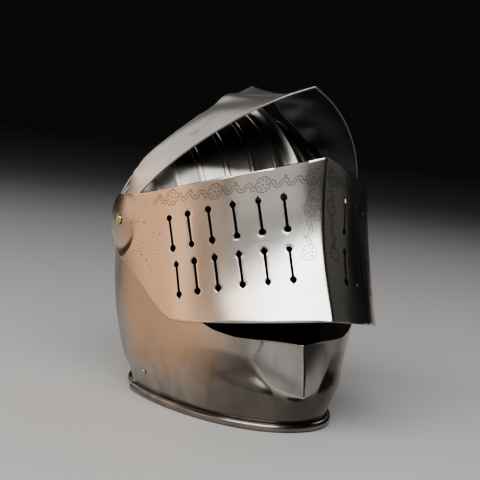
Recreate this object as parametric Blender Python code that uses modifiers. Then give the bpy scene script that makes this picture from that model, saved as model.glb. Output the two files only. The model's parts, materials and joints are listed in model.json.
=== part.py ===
"""Close helmet with a fluted skull, a prow-shaped bevor, a pierced visor and a raised peak.

Metres, +Z up. The wearer faces -Y and the wearer's left is +X. All four plates turn on two rivets
at the temples, so every plate is drawn about that axis: "ahead" is -Y of it and "height" is +Z.
"""

import math

import bmesh
import bpy
import numpy as np
from mathutils import Vector

# ---------------------------------------------------------------- driving dimensions

PIVOT_Y = 0.0245            # the temple axis, behind the middle of the whole helmet
PIVOT_Z = 0.1415            # the temple axis, above the lower rim
PLATE = 0.0014              # thickness of every plate
BORE_RADIUS = 0.0030        # clearance hole for a temple rivet
RAISED_VISOR = 20.5         # degrees that the visor stands open at rest
RAISED_PEAK = 49.0          # degrees from level to the peak's lower edge at rest

# Skull: a bowl whose outline in side view is drawn from the temple axis.
SKULL_HALF_WIDTH = 0.0985
SKULL_PROFILE = {           # degrees over the top from level ahead: distance from the axis
    0: 0.1120, 20: 0.1040, 40: 0.0985, 60: 0.0965, 75: 0.0970, 90: 0.0985, 105: 0.0995,
    120: 0.1002, 135: 0.1018, 150: 0.1056, 165: 0.1112, 180: 0.1152,
}
SKULL_NECK = np.array([
    # height, half width, reach ahead, reach back
    (0.0000, 0.0985, 0.1120, 0.1155),
    (-0.0300, 0.0970, 0.1110, 0.1138),
    (-0.0550, 0.0925, 0.1080, 0.1070),
    (-0.0800, 0.0860, 0.1040, 0.0985),
    (-0.1000, 0.0795, 0.1000, 0.0925),
    (-0.1200, 0.0730, 0.0980, 0.0890),
    (-0.1385, 0.0665, 0.0970, 0.0900),
])
SKULL_RINGS = (90, 87, 82, 74, 65, 55, 45, 36, 27, 18, 9, 3, 0)  # degrees from the middle to the temple
SKULL_SQUARENESS = 0.45     # how much the crown is arched rather than round across
SKULL_EAR = 0.0200
SKULL_SWELL = 0.065         # share by which the bowl is fuller above and ahead of the temples
COMB_HEIGHT = 0.0050
COMB_HALF_WIDTH = 0.0060
COMB_FOOT = -0.0200         # the comb dies out at this height, front and back
FACE_OPENING = (            # side view of the face opening: (behind the axis, height)
    (-0.200, 0.030), (-0.062, 0.030), (-0.044, 0.026), (-0.030, 0.014), (-0.022, -0.002),
    (-0.020, -0.018), (-0.020, -0.200), (-0.200, -0.200),
)

# Bevor: a chin plate round as a collar, with a keeled prow that stands out from it.
BEVOR_SECTIONS = np.array([
    # height, half width, reach ahead, fullness
    (0.0200, 0.1005, 0.1180, 2.30),
    (-0.0200, 0.1000, 0.1180, 2.30),
    (-0.0500, 0.0975, 0.1180, 2.30),
    (-0.0740, 0.0940, 0.1180, 2.30),
    (-0.0980, 0.0875, 0.1205, 2.25),
    (-0.1130, 0.0820, 0.1270, 2.20),
    (-0.1200, 0.0780, 0.1275, 2.15),
    (-0.1385, 0.0700, 0.1245, 2.10),
])
CHIN_KEEL = np.array([
    # height, keel of the prow ahead, how fast it falls back to each side
    (-0.0740, 0.1305, 0.590), (-0.0980, 0.1358, 0.660), (-0.1130, 0.1382, 0.690),
])
CHIN_EDGE = np.array([
    # from the middle plane, height where the prow ends
    (0.0000, -0.1130), (0.0115, -0.1110), (0.0195, -0.1075), (0.0270, -0.0990), (0.0310, -0.0930),
    (0.0360, -0.0865), (0.0440, -0.0830), (0.0700, -0.0820), (0.1010, -0.0820),
])
CHIN_STEP = 0.0050          # height of the slope under the prow
CHIN_SIDE = 0.0500          # the prow ends this far from the middle plane
BEVOR_HALF_WIDTH = 0.1005   # at the temples
BEVOR_EAR = 0.0180
BEVOR_BACK = 0.0140         # its rear edge stands this far behind the axis
BEVOR_TOP = np.array([
    # ahead of the axis, height of the upper edge
    (0.1300, -0.0740), (0.1060, -0.0728), (0.0950, -0.0700), (0.0850, -0.0640),
    (0.0650, -0.0480), (0.0420, -0.0280), (0.0240, -0.0080), (0.0176, 0.0040),
    (0.0130, 0.0125), (0.0070, 0.0166), (0.0000, 0.0180), (-0.0070, 0.0166), (-0.0140, 0.0113),
])
RIM_RADIUS = 0.0032         # the lower edges are rolled over a wire

# Visor, drawn closed: its sight edge level, then turned up by RAISED_VISOR.
VISOR_HALF_WIDTH = 0.1043
VISOR_KEEL = np.array([
    # height, keel ahead
    (0.0175, 0.1475), (-0.0100, 0.1395), (-0.0410, 0.1350), (-0.0720, 0.1355), (-0.1035, 0.1395),
])
VISOR_PROW = 0.27
VISOR_FULLNESS = 2.42
VISOR_EAR = 0.0205
VISOR_TOP = np.array([
    # ahead of the axis, height of the upper edge
    (0.1475, 0.0175), (0.1400, 0.0150), (0.1230, 0.0115), (0.1000, 0.0100), (0.0700, 0.0100),
    (0.0400, 0.0118), (0.0270, 0.0140), (0.0170, 0.0166), (0.0080, 0.0190), (0.0000, 0.0205),
    (-0.0080, 0.0189), (-0.0145, 0.0145), (-0.0185, 0.0088), (-0.0203, 0.0030),
])
VISOR_BOTTOM = np.array([
    # ahead of the axis, height of the lower edge
    (0.1395, -0.1035), (0.1290, -0.1025), (0.0970, -0.0980), (0.0780, -0.0945), (0.0630, -0.0915),
    (0.0510, -0.0855), (0.0385, -0.0710), (0.0260, -0.0550), (0.0168, -0.0459), (0.0060, -0.0350),
    (-0.0060, -0.0265), (-0.0145, -0.0175), (-0.0185, -0.0100), (-0.0203, -0.0030),
])
BREATH_ROWS = (
    # middle of the row at the ear, how much it climbs to the keel, length of a slit
    (-0.0240, 0.0046, 0.0286), (-0.0602, 0.0018, 0.0282),
)
BREATH_SIDES = (0.0245, 0.0404, 0.0552, 0.0686, 0.0790, 0.0876)  # from the middle plane
BREATH_LEAN = 3.3           # degrees that each slit's foot leans towards the keel
BREATH_WIDTH = 0.0022
BREATH_END_RADIUS = 0.0026

# Peak: a keeled brow plate between two edges that fan out from the temples.
PEAK_HALF_WIDTH = 0.1024
PEAK_FRONT = 0.1590         # reach of the lower edge, at the keel
PEAK_BACK = np.array([
    # from the keel at 0 to the temple at 1, reach of the upper edge
    (0.000, 0.1152), (0.060, 0.1114), (0.115, 0.1083), (0.175, 0.1076), (0.240, 0.1045),
    (0.310, 0.0970), (0.460, 0.0862), (0.610, 0.0737), (0.711, 0.0650), (0.810, 0.0560),
    (0.900, 0.0440), (0.960, 0.0300), (1.000, 0.0000),
])
PEAK_SWEEP = 40.0           # degrees between the two edges
PEAK_PROW = 0.35
PEAK_FULLNESS = 2.38
PEAK_HOLLOW = np.array([
    # from the lower edge at 0 to the upper edge at 1, how far the keel sags
    (0.00, 0.0000), (0.14, 0.0120), (0.28, 0.0175), (0.45, 0.0180), (0.70, 0.0125), (1.00, 0.0000),
])
PEAK_EAR = 0.0165

# Rivets.
RIVET_SHANK = 0.0026
RIVET_HEAD = 0.0046
RIVET_DOME = 0.0028
RIVET_CLENCH = 0.0042
RIVET_FOOT = 0.0012
SMALL_RIVET_AT = (0.0175, -0.1190)  # ahead of the temple axis, height
SMALL_RIVET_HEAD = 0.0026
SMALL_RIVET_DOME = 0.0014
SMALL_RIVET_SHANK = 0.0013
SMALL_RIVET_CLENCH = 0.0021
SMALL_RIVET_FOOT = 0.0008
SMALL_BORE_RADIUS = 0.0016
RIVET_GAP = 0.0003          # play under each head and over each clench

STEEL = (0.56, 0.54, 0.51, 1.0)
DARK_STEEL = (0.33, 0.32, 0.31, 1.0)
BRASS = (0.66, 0.50, 0.24, 1.0)


# ---------------------------------------------------------------- scene

def clear_scene():
    for item in list(bpy.data.objects):
        bpy.data.objects.remove(item, do_unlink=True)


def new_collection(name):
    collection = bpy.data.collections.new(name)
    bpy.context.scene.collection.children.link(collection)
    return collection


def metal(name, color, roughness):
    material = bpy.data.materials.new(name)
    material.use_nodes = True
    shader = material.node_tree.nodes["Principled BSDF"]
    shader.inputs["Base Color"].default_value = color
    shader.inputs["Metallic"].default_value = 1.0
    shader.inputs["Roughness"].default_value = roughness
    return material


def add_object(name, mesh, collection, parent=None, material=None):
    item = bpy.data.objects.new(name, mesh)
    collection.objects.link(item)
    item.parent = parent
    if material is not None:
        mesh.materials.append(material)
    return item


def grid_mesh(name, points, closed_rows=False):
    """Mesh of a grid of points, rows by columns; closed_rows joins each row's end to its start."""
    rows, columns = points.shape[:2]
    corner = np.arange(rows * columns).reshape(rows, columns)
    ahead = np.roll(corner, -1, axis=1) if closed_rows else corner[:, 1:]
    here = corner if closed_rows else corner[:, :-1]
    faces = np.stack([here[:-1], ahead[:-1], ahead[1:], here[1:]], axis=-1).reshape(-1, 4)
    mesh = bpy.data.meshes.new(name)
    mesh.from_pydata(points.reshape(-1, 3).tolist(), [], faces.tolist())
    return mesh


def merge_corners(mesh):
    """Joins points that meet, as at a pole, and drops the faces that vanish."""
    shape = bmesh.new()
    shape.from_mesh(mesh)
    bmesh.ops.remove_doubles(shape, verts=shape.verts, dist=1e-6)
    shape.to_mesh(mesh)
    shape.free()


def shade(mesh):
    mesh.shade_smooth()
    mesh.set_sharp_from_angle(angle=math.radians(32))


# ---------------------------------------------------------------- curves

def smooth(places, values, at):
    """Value of a smooth curve through (places, values); places rise, and ends run straight."""
    slopes = np.gradient(values, places)
    index = np.clip(np.searchsorted(places, at) - 1, 0, len(places) - 2)
    span = places[index + 1] - places[index]
    part = np.clip((at - places[index]) / span, 0.0, 1.0)
    keep = part * part * (3.0 - 2.0 * part)
    start = part * (1.0 - part) ** 2 * span * slopes[index]
    end = part * part * (1.0 - part) * span * slopes[index + 1]
    return values[index] * (1.0 - keep) + values[index + 1] * keep + start - end


def from_table(table, height):
    """Columns of a table whose first column is height, read at each height."""
    order = np.argsort(table[:, 0])
    rows = table[order]
    return [smooth(rows[:, 0], rows[:, i], height) for i in range(1, rows.shape[1])]


def prow(side, keel, slope, fullness):
    """How far ahead a keeled plan reaches at a side from 0, the keel, to 1, the widest point."""
    return keel * (1.0 - slope * side) * np.sqrt(np.maximum(1.0 - side**fullness, 0.0))


# ---------------------------------------------------------------- plate surfaces, about the axis

def skull_points():
    """Half bowl: rays in side view run from the temple to the outline, x is the height over it."""
    angles = np.radians(np.array(list(SKULL_PROFILE)))
    reach = np.array(list(SKULL_PROFILE.values()))
    over = np.radians(np.arange(0, 181, 10.0))
    radius = smooth(angles, reach, over)
    top = np.stack([0 * over, -radius * np.cos(over), radius * np.sin(over)], -1)
    neck = SKULL_NECK[1:]
    back = np.stack([0 * neck[:, 0], neck[:, 3], neck[:, 0]], -1)
    front = np.stack([0 * neck[:, 0], -neck[:, 2], neck[:, 0]], -1)[::-1]
    bottom_z, half, ahead, behind = SKULL_NECK[-1]
    around = np.radians(np.arange(10, 171, 10.0))
    length = np.where(np.cos(around) > 0, behind, ahead)
    bottom = np.stack([half * np.sin(around), length * np.cos(around), 0 * around + bottom_z], -1)
    outline = np.concatenate([top, back, bottom, front])
    fractions = np.cos(np.radians(np.array(SKULL_RINGS, float)))
    points = fractions[:, None, None] * outline[None]
    y, z = points[..., 1], points[..., 2]
    share = np.broadcast_to(fractions[:, None], y.shape)
    tilt = np.arctan2(np.maximum(z, 0.0), np.abs(y) + 1e-9)
    power = 2.0 - SKULL_SQUARENESS * np.sin(tilt)
    upper = SKULL_HALF_WIDTH * np.maximum(1.0 - share**power, 0.0) ** (1.0 / power)
    half, ahead, behind = from_table(SKULL_NECK, z)
    length = np.where(y > 0, behind, ahead)
    lower = half * np.sqrt(np.maximum(1.0 - (y / length) ** 2, 0.0))
    points[..., 0] = np.where(z >= 0, upper, lower)
    points[-1, :, 0] = outline[:, 0]
    fade = np.clip((z - COMB_FOOT) / 0.040, 0.0, 1.0)
    ridge = np.maximum(1.0 - points[..., 0] / COMB_HALF_WIDTH, 0.0) * fade
    distance = np.hypot(y, z) + 1e-9
    lift = 1.0 + COMB_HEIGHT * ridge / distance
    points[..., 1] *= lift
    points[..., 2] *= lift
    rise = np.clip((points[..., 2] - 0.024) / 0.030, 0.0, 1.0)
    fall = np.clip((points[..., 2] - 0.058) / 0.042, 0.0, 1.0)
    ahead = np.clip((0.030 - points[..., 1]) / 0.050, 0.0, 1.0)
    full = rise**2 * (3.0 - 2.0 * rise) * (1.0 - fall**2 * (3.0 - 2.0 * fall))
    full = full * ahead**2 * (3.0 - 2.0 * ahead)
    points[..., :2] *= 1.0 + SKULL_SWELL * full[..., None]
    return round_ear(points, SKULL_HALF_WIDTH, SKULL_EAR)


def bevor_ahead(side, height):
    """How far ahead the bevor reaches, from 0 at the middle plane to 1 at its widest."""
    half, reach, full = from_table(BEVOR_SECTIONS, height)
    collar = prow(side, reach, 0.0, full)
    keel, fall = from_table(CHIN_KEEL, np.clip(height, CHIN_KEEL[-1, 0], CHIN_KEEL[0, 0]))
    chin = keel - fall * half * side - 8.0 * np.maximum(half * side - CHIN_SIDE, 0.0)
    edge = smooth(CHIN_EDGE[:, 0], CHIN_EDGE[:, 1], half * side)
    share = np.clip((height - edge) / CHIN_STEP + 1.0, 0.0, 1.0)
    return collar + np.maximum(chin - collar, 0.0) * share


def bevor_points():
    """Half bevor: columns from the keel round to the rear edge, rows from the rim to the top."""
    columns = np.concatenate([np.linspace(0, 68, 14), np.linspace(72, 90, 7)])
    side = np.sin(np.radians(columns))
    table = BEVOR_TOP[BEVOR_TOP[:, 0] > 1e-9]
    top = np.full(len(side), -0.07)
    for _ in range(80):
        aim = np.interp(bevor_ahead(side, top), table[::-1, 0], table[::-1, 1])
        top = 0.7 * top + 0.3 * aim
    top[-1] = BEVOR_EAR
    bottom = BEVOR_SECTIONS[-1, 0]
    edge = smooth(CHIN_EDGE[:, 0], CHIN_EDGE[:, 1], BEVOR_HALF_WIDTH * side)
    foot = edge - CHIN_STEP
    rows = [bottom + (foot - bottom) * share for share in (0.0, 0.25, 0.62, 1.0)]
    shares = (0.0, 0.25, 0.48, 0.66, 0.77, 0.86, 0.93, 1.0)
    rows += [edge + (top - edge) * share for share in shares]
    height = np.array(rows)
    side = np.broadcast_to(side, height.shape)
    half = from_table(BEVOR_SECTIONS, height)[0]
    points = np.stack([half * side, -bevor_ahead(side, height), height], -1)
    behind = np.linspace(0, BEVOR_BACK, 5)[1:]
    rear_top = np.sqrt(BEVOR_EAR**2 - behind**2)
    rear = np.zeros((len(rows), len(behind), 3))
    rear[..., 1] = behind
    share = (height[:, -1] - bottom) / (BEVOR_EAR - bottom)
    rear[..., 2] = bottom + (rear_top - bottom)[None] * share[:, None]
    half = from_table(BEVOR_SECTIONS, rear[..., 2])[0]
    rear[..., 0] = half * np.sqrt(1.0 - (behind / 0.115) ** 2)
    return round_ear(np.concatenate([points, rear], axis=1), BEVOR_HALF_WIDTH, BEVOR_EAR)


def round_ear(points, half_width, radius):
    """Near a temple every plate follows one shallow dish, so that the plates turn on each other."""
    distance = np.hypot(points[..., 1], points[..., 2])
    dish = half_width - distance**2 / 0.250
    weight = np.clip((1.5 * radius - distance) / (0.5 * radius), 0.0, 1.0)
    weight = weight * weight * (3.0 - 2.0 * weight)
    points[..., 0] = dish * weight + points[..., 0] * (1.0 - weight)
    return points


def visor_points():
    """Half visor, closed: columns from the keel round to the ear, rows from bottom to top."""
    columns = np.concatenate([np.linspace(0, 66, 15), np.linspace(69, 90, 8)])
    side = np.sin(np.radians(columns))
    keel_table = VISOR_KEEL[::-1]
    top = np.zeros(len(side))
    bottom = np.full(len(side), -0.1)
    for _ in range(60):
        for edge, table in ((top, VISOR_TOP), (bottom, VISOR_BOTTOM)):
            keel = smooth(keel_table[:, 0], keel_table[:, 1], edge)
            reach = prow(side, keel, VISOR_PROW, VISOR_FULLNESS)
            edge += 0.4 * (np.interp(reach, table[::-1, 0], table[::-1, 1]) - edge)
    share = np.linspace(0.0, 1.0, 8)
    height = bottom + (top - bottom)[None] * share[:, None]
    keel = smooth(keel_table[:, 0], keel_table[:, 1], height)
    ahead = prow(side[None], keel, VISOR_PROW, VISOR_FULLNESS)
    points = np.stack([VISOR_HALF_WIDTH * side + 0 * height, -ahead, height], -1)
    behind = VISOR_TOP[VISOR_TOP[:, 0] < -1e-9][:, 0] * -1
    rear = np.zeros((len(share), len(behind), 3))
    rear[..., 1] = behind
    low = np.interp(-behind, VISOR_BOTTOM[::-1, 0], VISOR_BOTTOM[::-1, 1])
    high = np.interp(-behind, VISOR_TOP[::-1, 0], VISOR_TOP[::-1, 1])
    rear[..., 2] = low + (high - low)[None] * share[:, None]
    rear[..., 0] = VISOR_HALF_WIDTH - np.hypot(rear[..., 1], rear[..., 2]) ** 2 / 0.250
    return round_ear(np.concatenate([points, rear], axis=1), VISOR_HALF_WIDTH, VISOR_EAR)


def peak_points():
    """Half peak, its lower edge level: columns from keel to temple, rows from front to back edge."""
    side = np.sin(np.radians(np.array([0, 3, 6, 10, 14, 19, 26, 34, 42, 50, 57, 63, 68, 73, 77.5])))
    share = PEAK_HOLLOW[:, 0]
    front = prow(side, PEAK_FRONT, PEAK_PROW, PEAK_FULLNESS)
    back = np.interp(side, PEAK_BACK[:, 0], PEAK_BACK[:, 1])
    angle = np.radians(PEAK_SWEEP * share)[:, None]
    reach = front[None] * (1.0 - share[:, None]) + back[None] * share[:, None]
    sag = np.interp(share, PEAK_HOLLOW[:, 0], PEAK_HOLLOW[:, 1])[:, None]
    sag = sag * (1.0 - side[None]) ** 2
    reach = reach - sag
    x = PEAK_HALF_WIDTH * side + 0 * reach
    arm = np.stack([x, -reach * np.cos(angle), reach * np.sin(angle)], -1)
    outward = PEAK_EAR * np.array([0.88, 0.66, 0.36, 0.0, -0.36, -0.66, -0.88, -0.98])
    across = np.sqrt(PEAK_EAR**2 - outward**2)[None] * (2.0 * share[:, None] - 1.0)
    middle = math.radians(0.5 * PEAK_SWEEP)
    ear_y = -(outward * math.cos(middle) - across * math.sin(middle))
    ear_z = outward * math.sin(middle) + across * math.cos(middle)
    ear_x = PEAK_HALF_WIDTH - (ear_y**2 + ear_z**2) / 0.250
    ear = np.stack([ear_x, ear_y, ear_z], -1)
    return round_ear(np.concatenate([arm, ear], axis=1), PEAK_HALF_WIDTH, PEAK_EAR)


# ---------------------------------------------------------------- solids

def face_outward(mesh):
    """Turns the faces of an open plate so that they look away from the temple axis's middle."""
    mesh.update()
    toward = sum(face.normal.dot(face.center) * face.area for face in mesh.polygons)
    if toward < 0:
        mesh.flip_normals()


def plate(name, points, collection, parent, material):
    """A half grid, mirrored across the middle plane and given its thickness inwards."""
    mesh = grid_mesh(name, points)
    merge_corners(mesh)
    face_outward(mesh)
    item = add_object(name, mesh, collection, parent, material)
    mirror = item.modifiers.new("Mirror", "MIRROR")
    mirror.use_mirror_merge = True
    mirror.merge_threshold = 1e-5
    wall = item.modifiers.new("Wall", "SOLIDIFY")
    wall.thickness = PLATE
    wall.offset = -1.0
    wall.use_even_offset = True
    shade(mesh)
    return item


def combine(item, other, operation):
    boolean = item.modifiers.new(operation.title(), "BOOLEAN")
    boolean.operation = operation
    boolean.object = other


def helper(name, mesh, collection, parent):
    item = add_object(name, mesh, collection, parent)
    item.hide_render = True
    item.display_type = "WIRE"
    return item


def closed_mesh(name, points):
    """Tube through rings of points with a flat face at each end."""
    mesh = grid_mesh(name, points, closed_rows=True)
    shape = bmesh.new()
    shape.from_mesh(mesh)
    shape.verts.ensure_lookup_table()
    count = points.shape[1]
    shape.faces.new(shape.verts[:count])
    shape.faces.new(shape.verts[-count:])
    bmesh.ops.recalc_face_normals(shape, faces=shape.faces)
    shape.to_mesh(mesh)
    shape.free()
    return mesh


def rim_mesh(name, path):
    """Rolled edge: an eight-sided tube outside a plan path, with its flat underside on the floor."""
    along = np.gradient(path, axis=0)
    outward = np.stack([along[:, 1], -along[:, 0]], -1)
    outward /= np.linalg.norm(outward, axis=1)[:, None]
    if (outward * path).sum() < 0:
        outward = -outward
    centre = path + outward * (RIM_RADIUS - 0.6 * PLATE)
    corners = np.radians(22.5 + 45.0 * np.arange(8))
    radius = RIM_RADIUS / math.cos(math.radians(22.5))
    out = centre[:, None] + outward[:, None] * (radius * np.cos(corners))[None, :, None]
    height = RIM_RADIUS - PIVOT_Z + radius * np.sin(corners)
    height = np.broadcast_to(height, out.shape[:2])
    return closed_mesh(name, np.concatenate([out, height[..., None]], -1))


def both_sides(path):
    """A path from the middle plane outwards, joined to its mirror image."""
    return np.concatenate([path[::-1], path[1:] * (-1.0, 1.0)])


def skull_rim_path():
    half, _, behind = SKULL_NECK[-1, 1:]
    turn = np.radians(np.append(np.arange(0, 72, 9.0), 77.0))
    return both_sides(np.stack([half * np.sin(turn), behind * np.cos(turn)], -1))


def bevor_rim_path():
    edge = bevor_points()[0]
    return both_sides(edge[:, :2])


def prism(name, outline, half_length):
    """Prism along X over an outline of (y, z) points."""
    ring = np.zeros((2, len(outline), 3))
    ring[..., 1:] = outline
    ring[0, :, 0] = -half_length
    ring[1, :, 0] = half_length
    return closed_mesh(name, ring)


def disc_outline(y, z, radius, count=20):
    turn = np.linspace(0, 2 * math.pi, count, endpoint=False)
    return np.stack([y + radius * np.cos(turn), z + radius * np.sin(turn)], -1)


def breath_outline(length):
    """A slit with a round hole at each end: (across, up) from its middle."""
    neck = math.degrees(math.asin(0.5 * BREATH_WIDTH / BREATH_END_RADIUS))
    turn = np.radians(np.linspace(-90 + neck, 270 - neck, 8))
    across = BREATH_END_RADIUS * np.cos(turn)
    up = BREATH_END_RADIUS * np.sin(turn) + 0.5 * length - BREATH_END_RADIUS
    return np.concatenate([np.stack([across, up], -1), np.stack([-across, -up], -1)])


def breaths_mesh():
    """Cutters for both rows of breaths on both sides, each square to the plate where it stands."""
    keel_table = VISOR_KEEL[::-1]
    shape = bmesh.new()
    lean = math.tan(math.radians(BREATH_LEAN))
    halfway = 0.5 * (BREATH_ROWS[0][0] + BREATH_ROWS[1][0])
    for base, climb, length in BREATH_ROWS:
        for upright in BREATH_SIDES:
            middle = base + climb * (1.0 - upright / BREATH_SIDES[-1])
            keel = smooth(keel_table[:, 0], keel_table[:, 1], np.array([middle]))[0]
            side = upright + lean * (middle - halfway)
            share = np.array([side - 0.001, side, side + 0.001]) / VISOR_HALF_WIDTH
            ahead = prow(share, keel, VISOR_PROW, VISOR_FULLNESS)
            slope = math.atan2(ahead[0] - ahead[2], 0.002)
            for hand in (-1.0, 1.0):
                outward = np.array([hand * math.sin(slope), -math.cos(slope), 0.0])
                across = np.array([math.cos(slope), hand * math.sin(slope), 0.0])
                centre = np.array([hand * side, -ahead[1], middle])
                rings = []
                for depth in (-0.006, 0.006):
                    flat = breath_outline(length)
                    ring = centre + depth * outward
                    ring = ring + (flat[:, :1] + hand * lean * flat[:, 1:]) * across
                    ring[:, 2] += flat[:, 1]
                    rings.append([shape.verts.new(point) for point in ring])
                shape.faces.new(rings[0])
                shape.faces.new(rings[1])
                for i in range(len(rings[0])):
                    j = (i + 1) % len(rings[0])
                    shape.faces.new((rings[0][i], rings[0][j], rings[1][j], rings[1][i]))
    bmesh.ops.recalc_face_normals(shape, faces=shape.faces)
    mesh = bpy.data.meshes.new("breath_cutters")
    shape.to_mesh(mesh)
    shape.free()
    return mesh


def turned_solid(name, profile, collection, material):
    """A profile of (radius, height) points, outer side top to bottom, turned about Z."""
    mesh = bpy.data.meshes.new(name)
    points = [(radius, 0.0, height) for radius, height in profile]
    mesh.from_pydata(points, [(i, i + 1) for i in range(len(points) - 1)], [])
    item = add_object(name, mesh, collection, None, material)
    screw = item.modifiers.new("Screw", "SCREW")
    screw.steps = screw.render_steps = 20
    screw.use_merge_vertices = True
    screw.merge_threshold = 1e-5
    return item


def rivet_profile(head, dome, shank, grip, clench, clench_height):
    """Domed head above 0, a shank through the grip, and a flat clench below it."""
    turn = np.radians(np.linspace(90, 0, 6))
    cap = [(head * math.cos(t), dome * math.sin(t)) for t in turn]
    return cap + [(shank, 0.0), (shank, -grip), (clench, -grip), (clench, -grip - clench_height),
                  (0.0, -grip - clench_height)]


def stand(item, point, outward):
    """Stands a piece drawn along Z on a point of a plate, given about the axis, facing outward."""
    item.location = Vector(point) + Vector((0.0, PIVOT_Y, PIVOT_Z))
    item.rotation_euler = Vector(outward).to_track_quat("Z", "Y").to_euler()


def bevor_side_point(ahead, height):
    """(x, y, z) of the bevor's outer surface beside the neck, on the wearer's left."""
    half, reach, full = from_table(BEVOR_SECTIONS, np.array([height]))
    side = (1.0 - (ahead / reach[0]) ** 2) ** (1.0 / full[0])
    return np.array([half[0] * side, -ahead, height])


def small_rivet_seat():
    """Where the small rivet on the wearer's left stands, and the way it faces."""
    ahead, height = SMALL_RIVET_AT
    step = 0.0005
    along = bevor_side_point(ahead - step, height) - bevor_side_point(ahead + step, height)
    up = bevor_side_point(ahead, height + step) - bevor_side_point(ahead, height - step)
    outward = np.cross(along, up)
    return bevor_side_point(ahead, height), outward / np.linalg.norm(outward)


def cylinder_mesh(name, radius, half_length):
    """Cylinder along Z about the origin."""
    ring = np.zeros((2, 16, 3))
    ring[..., :2] = disc_outline(0.0, 0.0, radius, 16)
    ring[0, :, 2] = -half_length
    ring[1, :, 2] = half_length
    return closed_mesh(name, ring)


def main():
    clear_scene()
    parts = new_collection("close_helmet")
    cutters = new_collection("cutters")

    def axis(name, degrees=0.0):
        empty = bpy.data.objects.new(name, None)
        empty.location = (0.0, PIVOT_Y, PIVOT_Z)
        empty.rotation_euler = (math.radians(-degrees), 0.0, 0.0)
        parts.objects.link(empty)
        return empty

    temple = axis("temple_axis")
    visor_axis = axis("visor_axis", RAISED_VISOR)
    peak_axis = axis("peak_axis", RAISED_PEAK)

    bore = helper("temple_bore", prism("temple_bore", disc_outline(0, 0, BORE_RADIUS), 0.13),
                  cutters, temple)

    skull = plate("skull", skull_points(), parts, temple, metal("dark_steel", DARK_STEEL, 0.30))
    face = helper("face_opening", prism("face_opening", np.array(FACE_OPENING), 0.13), cutters,
                  temple)
    skull_rim = helper("skull_rim", rim_mesh("skull_rim", skull_rim_path()), cutters, temple)
    combine(skull, face, "DIFFERENCE")
    combine(skull, bore, "DIFFERENCE")
    combine(skull, skull_rim, "UNION")

    bevor = plate("bevor", bevor_points(), parts, temple, metal("bevor_steel", STEEL, 0.30))
    bevor_rim = helper("bevor_rim", rim_mesh("bevor_rim", bevor_rim_path()), cutters, temple)
    combine(bevor, bore, "DIFFERENCE")
    combine(bevor, bevor_rim, "UNION")

    visor = plate("visor", visor_points(), parts, visor_axis, metal("visor_steel", STEEL, 0.26))
    breaths = helper("breath_cutters", breaths_mesh(), cutters, visor_axis)
    combine(visor, bore, "DIFFERENCE")
    combine(visor, breaths, "DIFFERENCE")

    peak = plate("peak", peak_points(), parts, peak_axis, metal("peak_steel", STEEL, 0.28))
    combine(peak, bore, "DIFFERENCE")

    brass = metal("brass", BRASS, 0.32)
    grip = VISOR_HALF_WIDTH - SKULL_HALF_WIDTH + PLATE + 2.0 * RIVET_GAP
    profile = rivet_profile(RIVET_HEAD, RIVET_DOME, RIVET_SHANK, grip, RIVET_CLENCH, RIVET_FOOT)
    for hand, name in ((-1, "temple_rivet_right"), (1, "temple_rivet_left")):
        rivet = turned_solid(name, profile, parts, brass)
        stand(rivet, (hand * (VISOR_HALF_WIDTH + RIVET_GAP), 0.0, 0.0), (hand, 0.0, 0.0))

    small_steel = metal("rivet_steel", STEEL, 0.32)
    point, outward = small_rivet_seat()
    profile = rivet_profile(SMALL_RIVET_HEAD, SMALL_RIVET_DOME, SMALL_RIVET_SHANK,
                            PLATE + 2.0 * RIVET_GAP, SMALL_RIVET_CLENCH, SMALL_RIVET_FOOT)
    for hand, name in ((-1, "bevor_rivet_right"), (1, "bevor_rivet_left")):
        mirrored = np.array([hand, 1.0, 1.0])
        drill = helper(name + "_bore", cylinder_mesh(name + "_bore", SMALL_BORE_RADIUS, 0.006),
                       cutters, None)
        stand(drill, point * mirrored, outward * mirrored)
        combine(bevor, drill, "DIFFERENCE")
        rivet = turned_solid(name, profile, parts, small_steel)
        stand(rivet, (point + RIVET_GAP * outward) * mirrored, outward * mirrored)


main()
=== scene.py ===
"""Looks of a close helmet: ribbed skull, prowed bevor, pierced and chased visor, raised peak.

Metres, +Z up. The wearer faces -Y, with the wearer's left at +X. Every plate turns on the two
temple rivets, so each is worked out about their axis: "ahead" is -Y of it, "height" is +Z of it.
"""

import json
import math

import bmesh
import bpy
import numpy as np
from mathutils import Euler, Matrix, Vector


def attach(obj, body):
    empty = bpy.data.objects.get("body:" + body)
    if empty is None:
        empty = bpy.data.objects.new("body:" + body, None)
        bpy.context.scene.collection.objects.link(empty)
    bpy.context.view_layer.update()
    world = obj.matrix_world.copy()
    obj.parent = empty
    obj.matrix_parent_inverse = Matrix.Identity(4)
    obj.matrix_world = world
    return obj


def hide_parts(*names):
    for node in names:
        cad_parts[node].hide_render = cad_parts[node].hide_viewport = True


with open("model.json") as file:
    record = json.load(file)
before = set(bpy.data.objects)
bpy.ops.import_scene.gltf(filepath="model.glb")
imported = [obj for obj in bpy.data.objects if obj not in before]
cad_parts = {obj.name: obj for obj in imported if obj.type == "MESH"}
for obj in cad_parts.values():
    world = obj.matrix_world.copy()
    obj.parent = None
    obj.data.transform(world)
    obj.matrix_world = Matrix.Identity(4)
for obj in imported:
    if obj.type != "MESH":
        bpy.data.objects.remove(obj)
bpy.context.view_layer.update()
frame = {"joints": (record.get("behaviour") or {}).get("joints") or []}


# ------------------------ skull
# The skull is a bowl raised from one plate of steel, polished outside and dark inside. A low comb
# runs over the crown, with narrow ribs beside it. Its face opening is cut out with the shears.

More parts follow.
